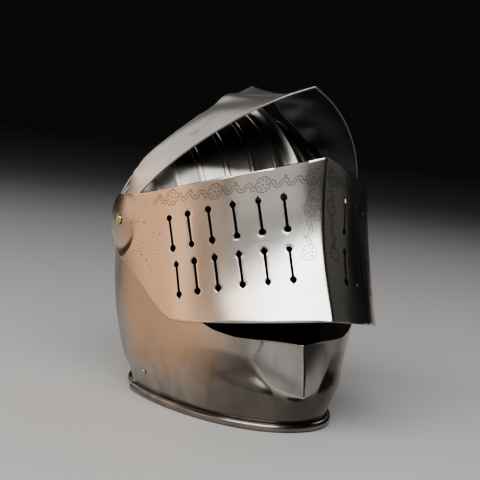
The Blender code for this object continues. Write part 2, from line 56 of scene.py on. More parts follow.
TEMPLE = np.array(frame["joints"][0]["pos_m"])
WALL = 0.0014
BORE_RADIUS = 0.0030
SKULL_HALF_WIDTH = 0.0985
SKULL_PROFILE = np.array([
    # degrees over the top from level ahead, distance from the axis
    (0, 0.1120), (20, 0.1040), (40, 0.0985), (60, 0.0965), (75, 0.0970), (90, 0.0985),
    (105, 0.0995), (120, 0.1002), (135, 0.1018), (150, 0.1056), (165, 0.1112), (180, 0.1152),
])
SKULL_NECK = np.array([
    # height, half width, reach ahead, reach back
    (0.0000, 0.0985, 0.1120, 0.1155),
    (-0.0300, 0.0970, 0.1110, 0.1138),
    (-0.0550, 0.0925, 0.1080, 0.1070),
    (-0.0800, 0.0860, 0.1040, 0.0985),
    (-0.1000, 0.0795, 0.1000, 0.0925),
    (-0.1200, 0.0730, 0.0980, 0.0890),
    (-0.1385, 0.0665, 0.0970, 0.0900),
])
SKULL_SQUARENESS = 0.45
SKULL_EAR = 0.0200
EAR_DISH = 0.250  # how shallow the dish is that all plates share at the temples
SKULL_SWELL = 0.065  # share by which the bowl is fuller above and ahead of the temples
SWELL_HEIGHTS = (0.024, 0.054, 0.058, 0.100)  # where that starts, is full, fades and ends
SWELL_REACH = (-0.020, 0.030)  # behind the axis, where it fades
COMB_HEIGHT = 0.0050
COMB_HALF_WIDTH = 0.0060
COMB_POWER = 1.3  # how narrow its crest is
COMB_FOOT = -0.0200
COMB_FADE = 0.0400  # height over which the comb rises from its foot
RIB_PITCH = 11.25  # degrees between ribs, from the middle plane to the temple
RIB_COUNT = 6
RIB_HALF = 1.45  # degrees
RIB_SPAN = (4.0, 7.0, 72.0, 80.0)  # rings where the ribs start, are full, fade and end
RIB_NECK = (-0.075, -0.020)  # heights between which they fade into the neck
RIB_HEIGHT = 0.0013
CELL_HOLLOW = 0.0009  # how far the steel sinks between two ribs
FACE_OPENING = (  # side view of the face opening: (behind the axis, height)
    (-0.200, 0.030), (-0.062, 0.030), (-0.044, 0.026), (-0.030, 0.014), (-0.022, -0.002),
    (-0.020, -0.018), (-0.020, -0.200), (-0.200, -0.200),
)
SHEAR_MARGIN = 0.006  # what is left to the cutter within the face opening
RIM_RADIUS = 0.0032
RIM_OVERLAP = 0.6 * WALL  # how far the plate sinks into its rim
RIM_SIDES = 28
RIM_TURN = 77.0  # degrees that the skull's rim runs to each side of the nape
SKULL_HAMMER = (0.00022, 3)  # depth of the hammer's waves, and their seed
RIM_SHADE = 0.45  # how dark the painted shade on a rolled rim is, as a share of a chased line
KEEL_RUB_AND_HIGHLIGHT = 0.0022  # half width of the bright line along a comb or keel: rubbing and painted highlight
# Where the brow band is rough from scouring and painted lighter as a painted reflection.
SCOURED_SHEEN_HEIGHTS = (0.020, 0.030, 0.045, 0.053)
SCOURED_SHEEN_REACH = (-0.090, -0.078, 0.000, 0.030)  # behind the axis
SHARP_ANGLE = math.radians(38.0)
CROWN_HEIGHT = 0.2  # all of the skull above this looks up
CUTTER_HALF = 0.130  # half length of a cutter that goes through both sides


def smooth(places, values, at):
    """Cubic curve through (places, values) whose slope at a place is that of its neighbours."""
    slopes = np.gradient(values, places)
    index = np.clip(np.searchsorted(places, at) - 1, 0, len(places) - 2)
    span = places[index + 1] - places[index]
    part = np.clip((at - places[index]) / span, 0.0, 1.0)
    keep = part * part * (3.0 - 2.0 * part)
    start = part * (1.0 - part) ** 2 * span * slopes[index]
    end = part * part * (1.0 - part) * span * slopes[index + 1]
    return values[index] * (1.0 - keep) + values[index + 1] * keep + start - end


def from_table(table, height):
    """Columns of a table whose first column is height, read at each height."""
    rows = table[np.argsort(table[:, 0])]
    return [smooth(rows[:, 0], rows[:, i], height) for i in range(1, rows.shape[1])]


def ease(value, low, high):
    """0 up to low, 1 from high, and a smooth step between them."""
    part = np.clip((value - low) / (high - low), 0.0, 1.0)
    return part * part * (3.0 - 2.0 * part)


def band(value, start, full, fade, end):
    """0 up to start, 1 between full and fade, 0 again from end, with smooth steps between."""
    return ease(value, start, full) * (1.0 - ease(value, fade, end))


def joined(*parts):
    """Numbers or arrays side by side on a new last axis, as points or as corners of faces."""
    return np.stack(np.broadcast_arrays(*parts), -1)


def round_ear(points, half_width, radius):
    """Near a temple every plate follows one shallow dish, so that the plates turn on each other."""
    distance = np.hypot(points[..., 1], points[..., 2])
    dish = half_width - distance**2 / EAR_DISH
    weight = 1.0 - ease(distance, radius, 1.5 * radius)
    side = np.sign(points[..., 0])
    points[..., 0] = side * dish * weight + points[..., 0] * (1.0 - weight)
    return points


def raised(points, degrees=0.0):
    """Points about the temple axis, turned up by degrees and set where the temples are."""
    turn = math.radians(degrees)
    x, y, z = points[..., 0], points[..., 1], points[..., 2]
    return TEMPLE + joined(x, y * math.cos(turn) + z * math.sin(turn),
                           z * math.cos(turn) - y * math.sin(turn))


def outward(points):
    """Unit normals of a grid of points: what runs along its columns crossed with its rows."""
    along, up = np.gradient(points, axis=1), np.gradient(points, axis=0)
    normal = np.cross(along, up)
    return normal / np.maximum(np.linalg.norm(normal, axis=-1, keepdims=True), 1e-12)


def beaten(points, depth, seed):
    """Slow waves left by the hammer: the sum of nine sines, each along its own direction."""
    draw = np.random.default_rng(seed)
    wave = draw.normal(size=(9, 3))
    length = draw.uniform(0.022, 0.070, 9)
    wave *= (2.0 * math.pi / length / np.linalg.norm(wave, axis=1))[:, None]
    phase = draw.uniform(0.0, 2.0 * math.pi, 9)
    share = length / length.sum()
    return depth * (np.sin(points @ wave.T + phase) * share).sum(-1) * 2.0


def polar_cells(rings, rays):
    """Corners of the four-sided faces of a closed fan of rays crossed by rings."""
    corner = np.arange(rings * rays).reshape(rings, rays)
    ahead = np.roll(corner, -1, axis=1)
    return joined(corner[:-1], ahead[:-1], ahead[1:], corner[1:]).reshape(-1, 4)


def capped(rings, rays):
    """Corners and counts of the faces of a tube of rings, with both ends closed."""
    first = np.arange(rays)
    corners = np.concatenate([polar_cells(rings, rays).ravel(), first[::-1],
                              first + (rings - 1) * rays])
    return corners, np.append(np.full((rings - 1) * rays, 4), (rays, rays))


def new_mesh(name, points, corners, counts, inside=None, marks=None):
    """Mesh of faces that take their corners from one long list, counts[i] for face i. Faces with
    inside set take the second finish, and marks are named values at the points."""
    used, corners = np.unique(corners, return_inverse=True)
    mesh = bpy.data.meshes.new(name)
    mesh.vertices.add(len(used))
    mesh.vertices.foreach_set("co", points[used].ravel())
    mesh.loops.add(len(corners))
    mesh.loops.foreach_set("vertex_index", corners.ravel())
    mesh.polygons.add(len(counts))
    mesh.polygons.foreach_set("loop_start", np.cumsum(counts) - counts)
    if inside is not None:
        mesh.polygons.foreach_set("material_index", inside)
    mesh.update(calc_edges=True)
    for mark, values in (marks or {}).items():
        mesh.attributes.new(mark, "FLOAT", "POINT").data.foreach_set("value", values[used])
    mesh.shade_smooth()
    return mesh


def new_piece(name, mesh, *finishes):
    """An object with this mesh and its finishes, linked to the scene."""
    piece = bpy.data.objects.new(name, mesh)
    bpy.context.scene.collection.objects.link(piece)
    for finish in finishes:
        mesh.materials.append(finish)
    return piece


def prism(name, outline, half_length):
    """Cutter along X over an outline of (behind the axis, height) points."""
    ring = np.zeros((2, len(outline), 3))
    ring[..., 1:] = outline
    ring[0, :, 0], ring[1, :, 0] = -half_length, half_length
    return face_out(new_mesh(name, raised(ring).reshape(-1, 3), *capped(2, len(outline))))


def face_out(mesh, apart=1e-6):
    """The same mesh with points nearer than apart merged and its faces all looking one way,
    which is outwards if it is closed."""
    shape = bmesh.new()
    shape.from_mesh(mesh)
    bmesh.ops.remove_doubles(shape, verts=shape.verts, dist=apart)
    bmesh.ops.recalc_face_normals(shape, faces=shape.faces)
    shape.to_mesh(mesh)
    shape.free()
    return mesh


def cut(piece, *meshes, solver="EXACT"):
    """Applies the modifiers of a piece, then takes the meshes away from it."""
    helpers = [new_piece(mesh.name, mesh) for mesh in meshes]
    for helper in helpers:
        boolean = piece.modifiers.new("cut", "BOOLEAN")
        boolean.operation = "DIFFERENCE"
        boolean.solver = solver
        boolean.object = helper
    graph = bpy.context.evaluated_depsgraph_get()
    result = bpy.data.meshes.new_from_object(piece.evaluated_get(graph))
    piece.modifiers.clear()
    piece.data = result
    result.name = piece.name
    for helper in helpers:
        bpy.data.objects.remove(helper)
    result.shade_smooth()
    result.set_sharp_from_angle(angle=SHARP_ANGLE)


def disc(radius, sides=32):
    """Corners of a flat regular polygon round (0, 0)."""
    turn = np.linspace(0.0, 2.0 * math.pi, sides, endpoint=False)
    return joined(radius * np.cos(turn), radius * np.sin(turn))


def temple_bore():
    """Cutter for the holes in both temples of a plate."""
    return prism("temple_bore", disc(BORE_RADIUS), CUTTER_HALF)


def skull_outline():
    """The skull from the side, all round: crown from brow to nape, neck, lower edge, front."""
    degrees = np.linspace(0.0, 180.0, 91)
    over, (radius,) = np.radians(degrees), from_table(SKULL_PROFILE, degrees)
    crown = joined(0.0, -radius * np.cos(over), radius * np.sin(over))
    foot, half, ahead, behind = SKULL_NECK[-1]
    height = np.linspace(0.0, foot, 25)[1:]
    reach = from_table(SKULL_NECK, height)
    nape = joined(0.0, reach[2], height)
    front = joined(0.0, -reach[1], height)[::-1]
    around = np.radians(np.linspace(0.0, 180.0, 37)[1:-1])
    length = np.where(np.cos(around) > 0, behind, ahead)
    edge = joined(half * np.sin(around), length * np.cos(around), foot)
    return np.concatenate([crown, nape, edge, front])


def skull_rings():
    """Degrees of the rings from the temple to the middle plane, closer together at each rib."""
    rib = RIB_HALF * np.array([-1.12, -1, -0.94, -0.75, -0.4, 0, 0.4, 0.75, 0.94, 1, 1.12])
    cell = np.linspace(2.6, RIB_PITCH - 2.6, 5)
    ribs = [RIB_PITCH * i + np.concatenate([rib, cell]) for i in range(1, RIB_COUNT + 1)]
    comb = [0.0, 0.35, 0.8, 1.3, 1.9, 2.5, 3.1, 3.7, 4.6, 5.8, 7.2, 8.6]
    ear = [79.0, 81.5, 84.0, 86.0, 88.0, 89.2, 90.0]
    return np.concatenate([comb, *ribs, ear])[::-1]


def skull_side():
    """One side of the skull. Rings shrink the outline towards the temple, and x is an arched
    ellipse across the crown above the temple and a plain one below it."""
    outline = skull_outline()
    ring = skull_rings()
    share = np.cos(np.radians(ring))[:, None]
    points = share[..., None] * outline[None]
    y, z = points[..., 1], points[..., 2]
    tilt = np.arctan2(np.maximum(z, 0.0), np.abs(y) + 1e-9)
    power = 2.0 - SKULL_SQUARENESS * np.sin(tilt)
    upper = SKULL_HALF_WIDTH * np.maximum(1.0 - share**power, 0.0) ** (1.0 / power)
    half, ahead, behind = from_table(SKULL_NECK, z)
    length = np.where(y > 0, behind, ahead)
    lower = half * np.sqrt(np.maximum(1.0 - (y / length) ** 2, 0.0))
    points[..., 0] = np.where(z >= 0, upper, lower)
    points[-1, :, 0] = outline[:, 0]
    fade = np.clip((z - COMB_FOOT) / COMB_FADE, 0.0, 1.0)
    ridge = np.maximum(1.0 - points[..., 0] / COMB_HALF_WIDTH, 0.0) * fade
    lift = 1.0 + COMB_HEIGHT * ridge**COMB_POWER / (np.hypot(y, z) + 1e-9)
    points[..., 1:] *= lift[..., None]
    full = band(z, *SWELL_HEIGHTS) * (1.0 - ease(y, *SWELL_REACH))
    points[..., :2] *= 1.0 + SKULL_SWELL * full[..., None]
    points = round_ear(points, SKULL_HALF_WIDTH, SKULL_EAR)
    normal = np.nan_to_num(outward(points))
    normal[-1, :, 0] = np.where(outline[:, 0] > 0, normal[-1, :, 0], 0.0)
    away = np.abs((ring + 0.5 * RIB_PITCH) % RIB_PITCH - 0.5 * RIB_PITCH)[:, None]
    bead = RIB_HEIGHT * (np.sqrt(np.maximum(1.0 - (away / RIB_HALF) ** 2, 0.0)) - 1.0)
    hollow = -CELL_HOLLOW * np.sin(math.pi * ring[:, None] / RIB_PITCH) ** 2
    span = band(ring, *RIB_SPAN)[:, None] * ease(outline[:, 2], *RIB_NECK)
    relief = (bead + hollow) * span
    relief = relief + beaten(points, *SKULL_HAMMER) * ease(ring, 1.0, 8.0)[:, None]
    return points + relief[..., None] * normal


def rim(name, path, finish):
    """Round wire carried along a plan path, its underside level with the foot, its ends capped."""
    along = np.gradient(path, axis=0)
    across = joined(along[:, 1], -along[:, 0])
    across /= np.linalg.norm(across, axis=1)[:, None]
    across *= np.sign((across * path).sum())
    flat = disc(RIM_RADIUS, RIM_SIDES)
    points = np.zeros((len(path), RIM_SIDES, 3))
    centre = path + across * (RIM_RADIUS - RIM_OVERLAP)
    points[..., :2] = centre[:, None] + across[:, None] * flat[None, :, :1]
    points[..., 2] = RIM_RADIUS + flat[:, 1]
    points = points - (0.0, 0.0, TEMPLE[2])
    # Rolled rims are darkened with painted shade.
    marks = {"worn_and_highlight": np.zeros(points.size // 3), "chased_and_shade": np.full(points.size // 3, RIM_SHADE)}
    mesh = new_mesh(name, raised(points).reshape(-1, 3), *capped(len(path), RIM_SIDES),
                    marks=marks)
    face_out(mesh).set_sharp_from_angle(angle=math.radians(50))
    return new_piece(name, mesh, finish)


class Shade:
    """One socket of a finish. Sums and products of shades and numbers add Math nodes."""

    def __init__(self, tree, socket=None):
        self.tree = tree
        self.socket = socket

    def node(self, kind, inputs, output=0, **settings):
        """A new node of this kind: settings first, then its inputs set or linked."""
        made = self.tree.nodes.new("ShaderNode" + kind)
        for key, value in settings.items():
            setattr(made, key, value)
        for key, value in inputs.items():
            if isinstance(value, Shade):
                self.tree.links.new(value.socket, made.inputs[key])
            else:
                made.inputs[key].default_value = value
        return Shade(self.tree, made.outputs[output])

    def maths(self, operation, *values):
        """A Math node over shades and numbers."""
        return self.node("Math", dict(enumerate(values)), operation=operation)

    def __add__(self, other):
        return self.maths("ADD", self, other)

    def __sub__(self, other):
        return self.maths("SUBTRACT", self, other)

    def __rsub__(self, other):
        return self.maths("SUBTRACT", other, self)

    def __mul__(self, other):
        return self.maths("MULTIPLY", self, other)

    __radd__ = __add__
    __rmul__ = __mul__

    def step(self, low, high):
        """0 below low, 1 above high, smooth between; a low above high turns it round."""
        ends = {"Value": self, "From Min": low, "From Max": high}
        return self.node("MapRange", ends, interpolation_type="SMOOTHSTEP")

    def noise(self, place, scale, detail, roughness=0.5):
        """Soft noise at a place, with this many features to a metre."""
        return self.node("TexNoise", {"Vector": place, "Scale": scale, "Detail": detail,
                                      "Roughness": roughness})

    def stretched(self, place, scale):
        """The place multiplied along each axis, for noise in streaks."""
        return self.node("Mapping", {"Vector": place, "Scale": scale})

    def between(self, share, first, second):
        """Colour that goes from the first to the second as share goes from 0 to 1."""
        return self.node("Mix", {0: share, 6: first, 7: second}, 2, data_type="RGBA")


def new_finish(name):
    """A material, its shader, a shade to build on, and the place in object space."""
    material = bpy.data.materials.new(name)
    material.use_nodes = True
    shade = Shade(material.node_tree)
    place = shade.node("TexCoord", {}, "Object")
    return material, material.node_tree.nodes["Principled BSDF"], shade, place


def as_metal(shader, colour, rough, bump):
    """Feeds a shader that is metal all over."""
    for key, value in (("Base Color", colour), ("Roughness", rough), ("Normal", bump)):
        value.tree.links.new(value.socket, shader.inputs[key])
    shader.inputs["Metallic"].default_value = 1.0


def steel(name, bright, dull, warm, gloss, tint, grime=0.5, rub=-0.04):
    """Hand-polished steel: bright metal clouded by dull patches, warm where tint says, with fine
    polishing lines. It is dark in the chased lines and where painted shade is marked, and bright
    from rubbing and where painted highlights are marked. Those marks change its roughness by
    rub, and a rub of None is for a piece without such marks."""
    material, shader, shade, place = new_finish(name)
    axes = [shade.node("SeparateXYZ", {"Vector": place}, i) for i in range(3)]
    cloud = shade.noise(place, 16.0, 4.0, 0.55).step(0.36, 0.66)
    mottle = shade.noise(shade.stretched(place, (1.0, 1.0, 0.45)), 62.0, 5.0, 0.6)
    speck = shade.noise(place, 620.0, 1.0, 0.5).step(0.76, 0.84)
    lines = shade.noise(shade.stretched(place, (30.0, 30.0, 420.0)), 6.0, 2.0, 0.6)
    cross = shade.noise(shade.stretched(place, (300.0, 26.0, 60.0)), 5.0, 2.0, 0.6)
    scratch = shade.noise(shade.stretched(place, (900.0, 120.0, 46.0)), 1.4, 1.0).step(0.70, 0.76)
    dulled = shade.maths("MINIMUM", cloud * 0.55 + mottle.step(0.45, 0.72) * 0.45, 1.0) * grime
    colour = shade.between(dulled, bright, dull)
    colour = shade.between(tint(shade, axes, cloud, mottle), colour, warm)
    colour = shade.between(speck * 0.4 * grime, colour, RUST_SPECK)
    rough = gloss + cloud * 0.06 + mottle * 0.03 + lines * 0.015 + scratch * 0.03
    height = lines * 0.06 + cross * 0.03 + cloud * 0.20 - scratch * 0.25
    if rub is not None:
        worn_and_highlight = shade.node("Attribute", {}, "Fac", attribute_name="worn_and_highlight")
        chased_and_shade = shade.node("Attribute", {}, "Fac", attribute_name="chased_and_shade")
        colour = shade.between(worn_and_highlight * 0.6, colour, RUBBED_AND_HIGHLIGHT)
        colour = shade.between(chased_and_shade * 0.88, colour, BLACKENED_AND_SHADE)
        rough = rough + worn_and_highlight * rub + chased_and_shade * 0.05
    bump = shade.node("Bump", {"Strength": 0.010, "Distance": 0.0004, "Height": height})
    as_metal(shader, colour, rough, bump)
    return material


def faint_tint(shade, axes, cloud, mottle):
    """A little warm in the mottling alone."""
    return mottle * 0.15


SKULL_BRIGHT = (0.60, 0.59, 0.57, 1.0)
SKULL_DULL = (0.40, 0.385, 0.37, 1.0)
SKULL_WARM = (0.50, 0.38, 0.29, 1.0)
# The inside is dark steel, darkened further to near black as painted shade.
INSIDE_BRIGHT = (0.034, 0.031, 0.030, 1.0)
INSIDE_DULL = (0.015, 0.013, 0.013, 1.0)
INSIDE_WARM = (0.030, 0.020, 0.016, 1.0)
# Colour of rubbing and of painted highlights; near black for the patina in chased lines and for
# painted shade.
RUBBED_AND_HIGHLIGHT = (0.80, 0.78, 0.75, 1.0)
BLACKENED_AND_SHADE = (0.055, 0.045, 0.04, 1.0)
RUST_SPECK = (0.10, 0.08, 0.07, 1.0)

# The band over the brow is rough from scouring, which takes off its polish, and is painted
# lighter as a painted reflection.
skull_steel = steel("skull_steel", SKULL_BRIGHT, SKULL_DULL, SKULL_WARM, 0.15, faint_tint,
                    rub=0.34)
inside_steel = steel("inside_steel", INSIDE_BRIGHT, INSIDE_DULL, INSIDE_WARM, 0.34, faint_tint)

side = skull_side()
both = np.concatenate([side.reshape(-1, 3), (side * (-1.0, 1.0, 1.0)).reshape(-1, 3)])
cells = polar_cells(*side.shape[:2])
middle = side.reshape(-1, 3)[cells].mean(axis=1)
border = np.array(FACE_OPENING[1:7])[::-1]
reach = np.interp(middle[:, 2], border[:, 1], border[:, 0])
sheared = (middle[:, 2] < border[-1, 1] - SHEAR_MARGIN) & (middle[:, 1] < reach - SHEAR_MARGIN)
cells = cells[~sheared]
cells = np.concatenate([cells, cells[:, ::-1] + side.size // 3])
# A bright line along the comb: rubbing and painted highlight.
comb_rub_and_highlight = np.exp(-((both[:, 0] / KEEL_RUB_AND_HIGHLIGHT) ** 2)) * ease(both[:, 2], 0.0, 0.04)
scoured_and_sheen = band(both[:, 2], *SCOURED_SHEEN_HEIGHTS) * band(both[:, 1], *SCOURED_SHEEN_REACH)
worn_and_highlight = np.maximum(comb_rub_and_highlight, scoured_and_sheen)
skull_mesh = new_mesh("skull_plate", raised(both), cells.ravel(), np.full(len(cells), 4),
                      marks={"worn_and_highlight": worn_and_highlight, "chased_and_shade": 0 * worn_and_highlight})
face_out(skull_mesh, 2e-6)
if sum(face.normal.z for face in skull_mesh.polygons if face.center.z > CROWN_HEIGHT) < 0:
    skull_mesh.flip_normals()
skull = new_piece("skull_plate", skull_mesh, skull_steel, inside_steel)
wall = skull.modifiers.new("wall", "SOLIDIFY")
wall.thickness = WALL
wall.offset = -1.0
wall.use_even_offset = True
wall.material_offset = 1
cut(skull, prism("face_opening", FACE_OPENING, CUTTER_HALF), temple_bore(), solver="MANIFOLD")

turn = np.radians(np.linspace(-RIM_TURN, RIM_TURN, 90))
nape_path = joined(SKULL_NECK[-1, 1] * np.sin(turn), SKULL_NECK[-1, 3] * np.cos(turn))
skull_rim = rim("skull_rim", nape_path, skull_steel)

for piece in (skull, skull_rim):
    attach(piece, "skull_body")
    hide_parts("skull")


# ------------------------ bevor
# The bevor is the chin plate: a collar of steel beaten out to a keeled prow in front, its lower
# edge rolled over a wire. It turns on the temple rivets under the peak and the visor.

BEVOR_SECTIONS = np.array([
    # height, half width, reach ahead, fullness
    (0.0200, 0.1005, 0.1180, 2.30),
    (-0.0200, 0.1000, 0.1180, 2.30),
    (-0.0500, 0.0975, 0.1180, 2.30),
    (-0.0740, 0.0940, 0.1180, 2.30),
    (-0.0980, 0.0875, 0.1205, 2.25),
    (-0.1130, 0.0820, 0.1270, 2.20),
    (-0.1200, 0.0780, 0.1275, 2.15),
    (-0.1385, 0.0700, 0.1245, 2.10),
])
CHIN_KEEL = np.array([
    # height, keel of the prow ahead, how fast it falls back to each side
    (-0.0740, 0.1305, 0.590), (-0.0980, 0.1358, 0.660), (-0.1130, 0.1382, 0.690),
])
CHIN_EDGE = np.array([
    # from the middle plane, height where the prow ends
    (0.0000, -0.1130), (0.0115, -0.1110), (0.0195, -0.1075), (0.0270, -0.0990), (0.0310, -0.0930),
    (0.0360, -0.0865), (0.0440, -0.0830), (0.0700, -0.0820), (0.1010, -0.0820),
])
CHIN_STEP = 0.0050  # height over which the prow's lower edge stands out
CHIN_ROUND = 0.0006  # how far the prow's keel is rounded
CHIN_SIDE = 0.0500  # from the middle plane, where the prow falls back into the collar
CHIN_FALL = 8.0
BEVOR_HALF_WIDTH = 0.1005
BEVOR_EAR = 0.0180
BEVOR_BACK = 0.0140  # how far its arms reach behind the axis
BEVOR_REAR = 0.115  # where they would meet
BEVOR_TOP = np.array([
    # ahead of the axis, height of the upper edge
    (0.1300, -0.0740), (0.1060, -0.0728), (0.0950, -0.0700), (0.0850, -0.0640),
    (0.0650, -0.0480), (0.0420, -0.0280), (0.0240, -0.0080), (0.0176, 0.0040),
    (0.0130, 0.0125), (0.0070, 0.0166),
])
BEVOR_HAMMER = (0.00030, 11)
SETTLE = 80  # rounds that find an edge whose height depends on its own reach
KEEL_FOOT = (-0.118, -0.108)  # heights between which the keel's rubbing and painted highlight start
PANEL_RUB_AND_SHEEN = 0.50  # how bright the panel over the prow is: rubbing and painted sheen
PANEL_SPREAD = 0.36  # how much wider it gets for each metre up
PANEL_SIDE = (0.012, 0.034)  # from the middle plane, where it fades
PANEL_FOOT = (-0.003, 0.001)  # above the prow's lower edge, where it starts
SHADE_UNDER_PROW = 0.85  # how dark the painted shade under the prow is
SHADE_UNDER_PROW_DROP = 0.006  # below the edge, where it is full
SHADE_UNDER_PROW_SIDE = (0.040, 0.078)  # from the middle plane, where it fades
KEEL_CLEAR = 0.012  # how far the hammer's waves stay off a keel
EDGE_RUB_AND_HIGHLIGHT = 0.4  # how bright the edge of a plate is: rubbing and painted highlight
EDGE_SHADE = 0.8  # and how dark the painted shade on its rounding, as a share of a chased line


def prow(side, keel, slope, fullness):
    """How far ahead a keeled plan reaches at a side from 0, the keel, to 1, the widest point."""
    return keel * (1.0 - slope * side) * np.sqrt(np.maximum(1.0 - side**fullness, 0.0))


def both_halves(half):
    """A grid whose first column is the keel, joined to its mirror image: from right to left."""
    return np.concatenate([half[:, :0:-1] * (-1.0, 1.0, 1.0), half], axis=1)


def quilt(fine, step):
    """Faces of a grid whose cells are step squares wide, cut into single squares where fine is
    set. A whole cell beside a cut one takes the corners on their shared edge as well."""
    width = fine.shape[1] * step + 1
    row, column = (place[:, None] * step for place in np.nonzero(fine))
    down, over = np.divmod(np.arange(step * step), step)
    low = ((row + down) * width + column + over).ravel()
    small = joined(low, low + 1, low + width + 1, low + width)
    row, column = np.nonzero(~fine)
    near = np.pad(fine, 1)
    beside = joined(near[row, column + 1], near[row + 1, column + 2],
                    near[row + 2, column + 1], near[row + 1, column])
    tick = np.arange(step)
    ring_row = np.concatenate([0 * tick, tick, step + 0 * tick, step - tick])
    ring_column = np.concatenate([tick, step + 0 * tick, step - tick, 0 * tick])
    ring = (row[:, None] * step + ring_row) * width + column[:, None] * step + ring_column
    keep = np.repeat(beside, step, axis=1) | np.tile(tick == 0, 4)
    counts = np.append(np.full(len(small), 4), keep.sum(axis=1))
    return np.append(small.ravel(), ring[keep]), counts


def plate_mesh(name, grid, degrees, relief, worn_and_highlight, chased_and_shade, fine=None, step=1):
    """Closed plate: a grid of outer points pushed out by relief, an inner skin one wall behind
    it on every step-th point, and a half-round edge between them."""
    rows, columns = grid.shape[:2]
    if fine is None:
        fine = np.zeros((rows - 1, columns - 1), bool)
    normal = outward(grid)
    corners, counts = quilt(fine, step)
    inner = (grid - WALL * normal)[::step, ::step]
    index = np.arange(rows * columns).reshape(rows, columns)[::step, ::step]
    back = np.arange(inner.shape[0] * inner.shape[1]).reshape(inner.shape[:2])
    walk = [np.concatenate([i[0, :-1], i[:-1, -1], i[-1, :0:-1], i[:0:-1, 0]])
            for i in (index, back)]
    edge = grid.reshape(-1, 3)[walk[0]]
    face = normal.reshape(-1, 3)[walk[0]]
    aside = np.cross(np.roll(edge, -1, axis=0) - np.roll(edge, 1, axis=0), face)
    aside /= np.linalg.norm(aside, axis=1)[:, None]
    bends = np.radians((36.0, 72.0, 108.0, 144.0))
    rolls = [edge + 0.5 * WALL * ((math.cos(bend) - 1.0) * face + math.sin(bend) * aside)
             for bend in bends]
    start = rows * columns
    loops = [walk[0]] + [start + len(edge) * i + np.arange(len(edge)) for i in range(len(bends))]
    loops.append(start + len(edge) * len(bends) + walk[1])
    strips = [joined(np.roll(a, -1), a, b, np.roll(b, -1))
              for a, b in zip(loops[:-1], loops[1:])]
    behind = start + len(edge) * len(bends) + back
    skin = joined(behind[:-1, :-1], behind[1:, :-1], behind[1:, 1:], behind[:-1, 1:])
    more = np.concatenate([*strips, skin.reshape(-1, 4)])
    points = np.concatenate([(grid + relief[..., None] * normal).reshape(-1, 3), *rolls,
                             inner.reshape(-1, 3)])
    inside = np.zeros(len(counts) + len(more), np.int32)
    inside[-skin[..., 0].size:] = 1
    # The edge gets rubbing and painted highlight, and its rounding painted shade as well.
    rub = worn_and_highlight.ravel().copy()
    rub[walk[0]] = EDGE_RUB_AND_HIGHLIGHT
    rolled = np.repeat((1.0, 0.0), (len(edge) * len(bends), inner.size // 3))
    marks = {"worn_and_highlight": np.append(rub, EDGE_RUB_AND_HIGHLIGHT * rolled),
             "chased_and_shade": np.append(chased_and_shade, EDGE_SHADE * rolled)}
    return new_mesh(name, raised(points, degrees), np.append(corners, more.ravel()),
                    np.append(counts, np.full(len(more), 4)), inside, marks)


def bevor_ahead(side, height):
    """How far ahead the bevor reaches: the collar, or the keeled prow where that stands out."""
    half, reach, full = from_table(BEVOR_SECTIONS, height)
    collar = prow(side, reach, 0.0, full)
    keel, fall = from_table(CHIN_KEEL, np.clip(height, CHIN_KEEL[-1, 0], CHIN_KEEL[0, 0]))
    across = np.hypot(half * side, CHIN_ROUND)
    chin = keel - fall * across - CHIN_FALL * np.maximum(half * side - CHIN_SIDE, 0.0)
    (edge,) = from_table(CHIN_EDGE, half * side)
    share = ease(height, edge - 1.15 * CHIN_STEP, edge + 0.15 * CHIN_STEP)
    proud = chin - collar
    return collar + 0.5 * (proud + np.hypot(proud, 0.5 * CHIN_ROUND)) * share


def bevor_grid():
    """Columns from the keel round to the rear edge, rows from the rim up to the upper edge."""
    turn = np.concatenate([np.linspace(0.0, 4.0, 9), np.linspace(4.8, 90.0, 118)])
    side = np.sin(np.radians(turn))
    reach, level = BEVOR_TOP[::-1].T
    top = np.full(len(side), -0.07)
    for _ in range(SETTLE):
        top = 0.7 * top + 0.3 * np.interp(bevor_ahead(side, top), reach, level)
    top[-1] = BEVOR_EAR
    bottom = BEVOR_SECTIONS[-1, 0]
    (edge,) = from_table(CHIN_EDGE, BEVOR_HALF_WIDTH * side)
    foot = edge - CHIN_STEP
    under = bottom + (foot - bottom) * np.linspace(0.0, 1.0, 22)[:, None]
    slope = foot + CHIN_STEP * np.linspace(0.0, 1.0, 9)[1:, None]
    above = edge + (top - edge) * np.linspace(0.0, 1.0, 66)[1:, None]
    height = np.concatenate([under, slope, above])
    side = np.broadcast_to(side, height.shape)
    half = from_table(BEVOR_SECTIONS, height)[0]
    points = joined(half * side, -bevor_ahead(side, height), height)
    behind = np.linspace(0.0, BEVOR_BACK, 13)[1:]
    rear_top = np.sqrt(BEVOR_EAR**2 - behind**2)
    share = (height[:, -1:] - bottom) / (BEVOR_EAR - bottom)
    rear_height = bottom + (rear_top - bottom) * share
    half = from_table(BEVOR_SECTIONS, rear_height)[0]
    rear_x = half * np.sqrt(1.0 - (behind / BEVOR_REAR) ** 2)
    rear = joined(rear_x, behind, rear_height)
    return round_ear(both_halves(np.concatenate([points, rear], axis=1)), BEVOR_HALF_WIDTH,
                     BEVOR_EAR)


def bevor_warm_reflection(shade, axes, cloud, mottle):
    """Painted warm reflection over the cheeks, fading behind the temples, towards the prow and down
    to the rim.
    """
    side = shade.maths("ABSOLUTE", axes[0]).step(0.040, 0.080)
    side = side * axes[1].step(0.035, 0.000) * axes[2].step(0.006, 0.075)
    return side * (0.72 + mottle * 0.35 - cloud * 0.12)


# Bevor steel is much darker than the visor's: partly mottled brown staining, partly painted shade
# standing in for dark reflections low on the collar.
BEVOR_BRIGHT = (0.34, 0.31, 0.28, 1.0)
BEVOR_DULL = (0.095, 0.072, 0.052, 1.0)
BEVOR_WARM_REFLECTION = (0.80, 0.46, 0.245, 1.0)

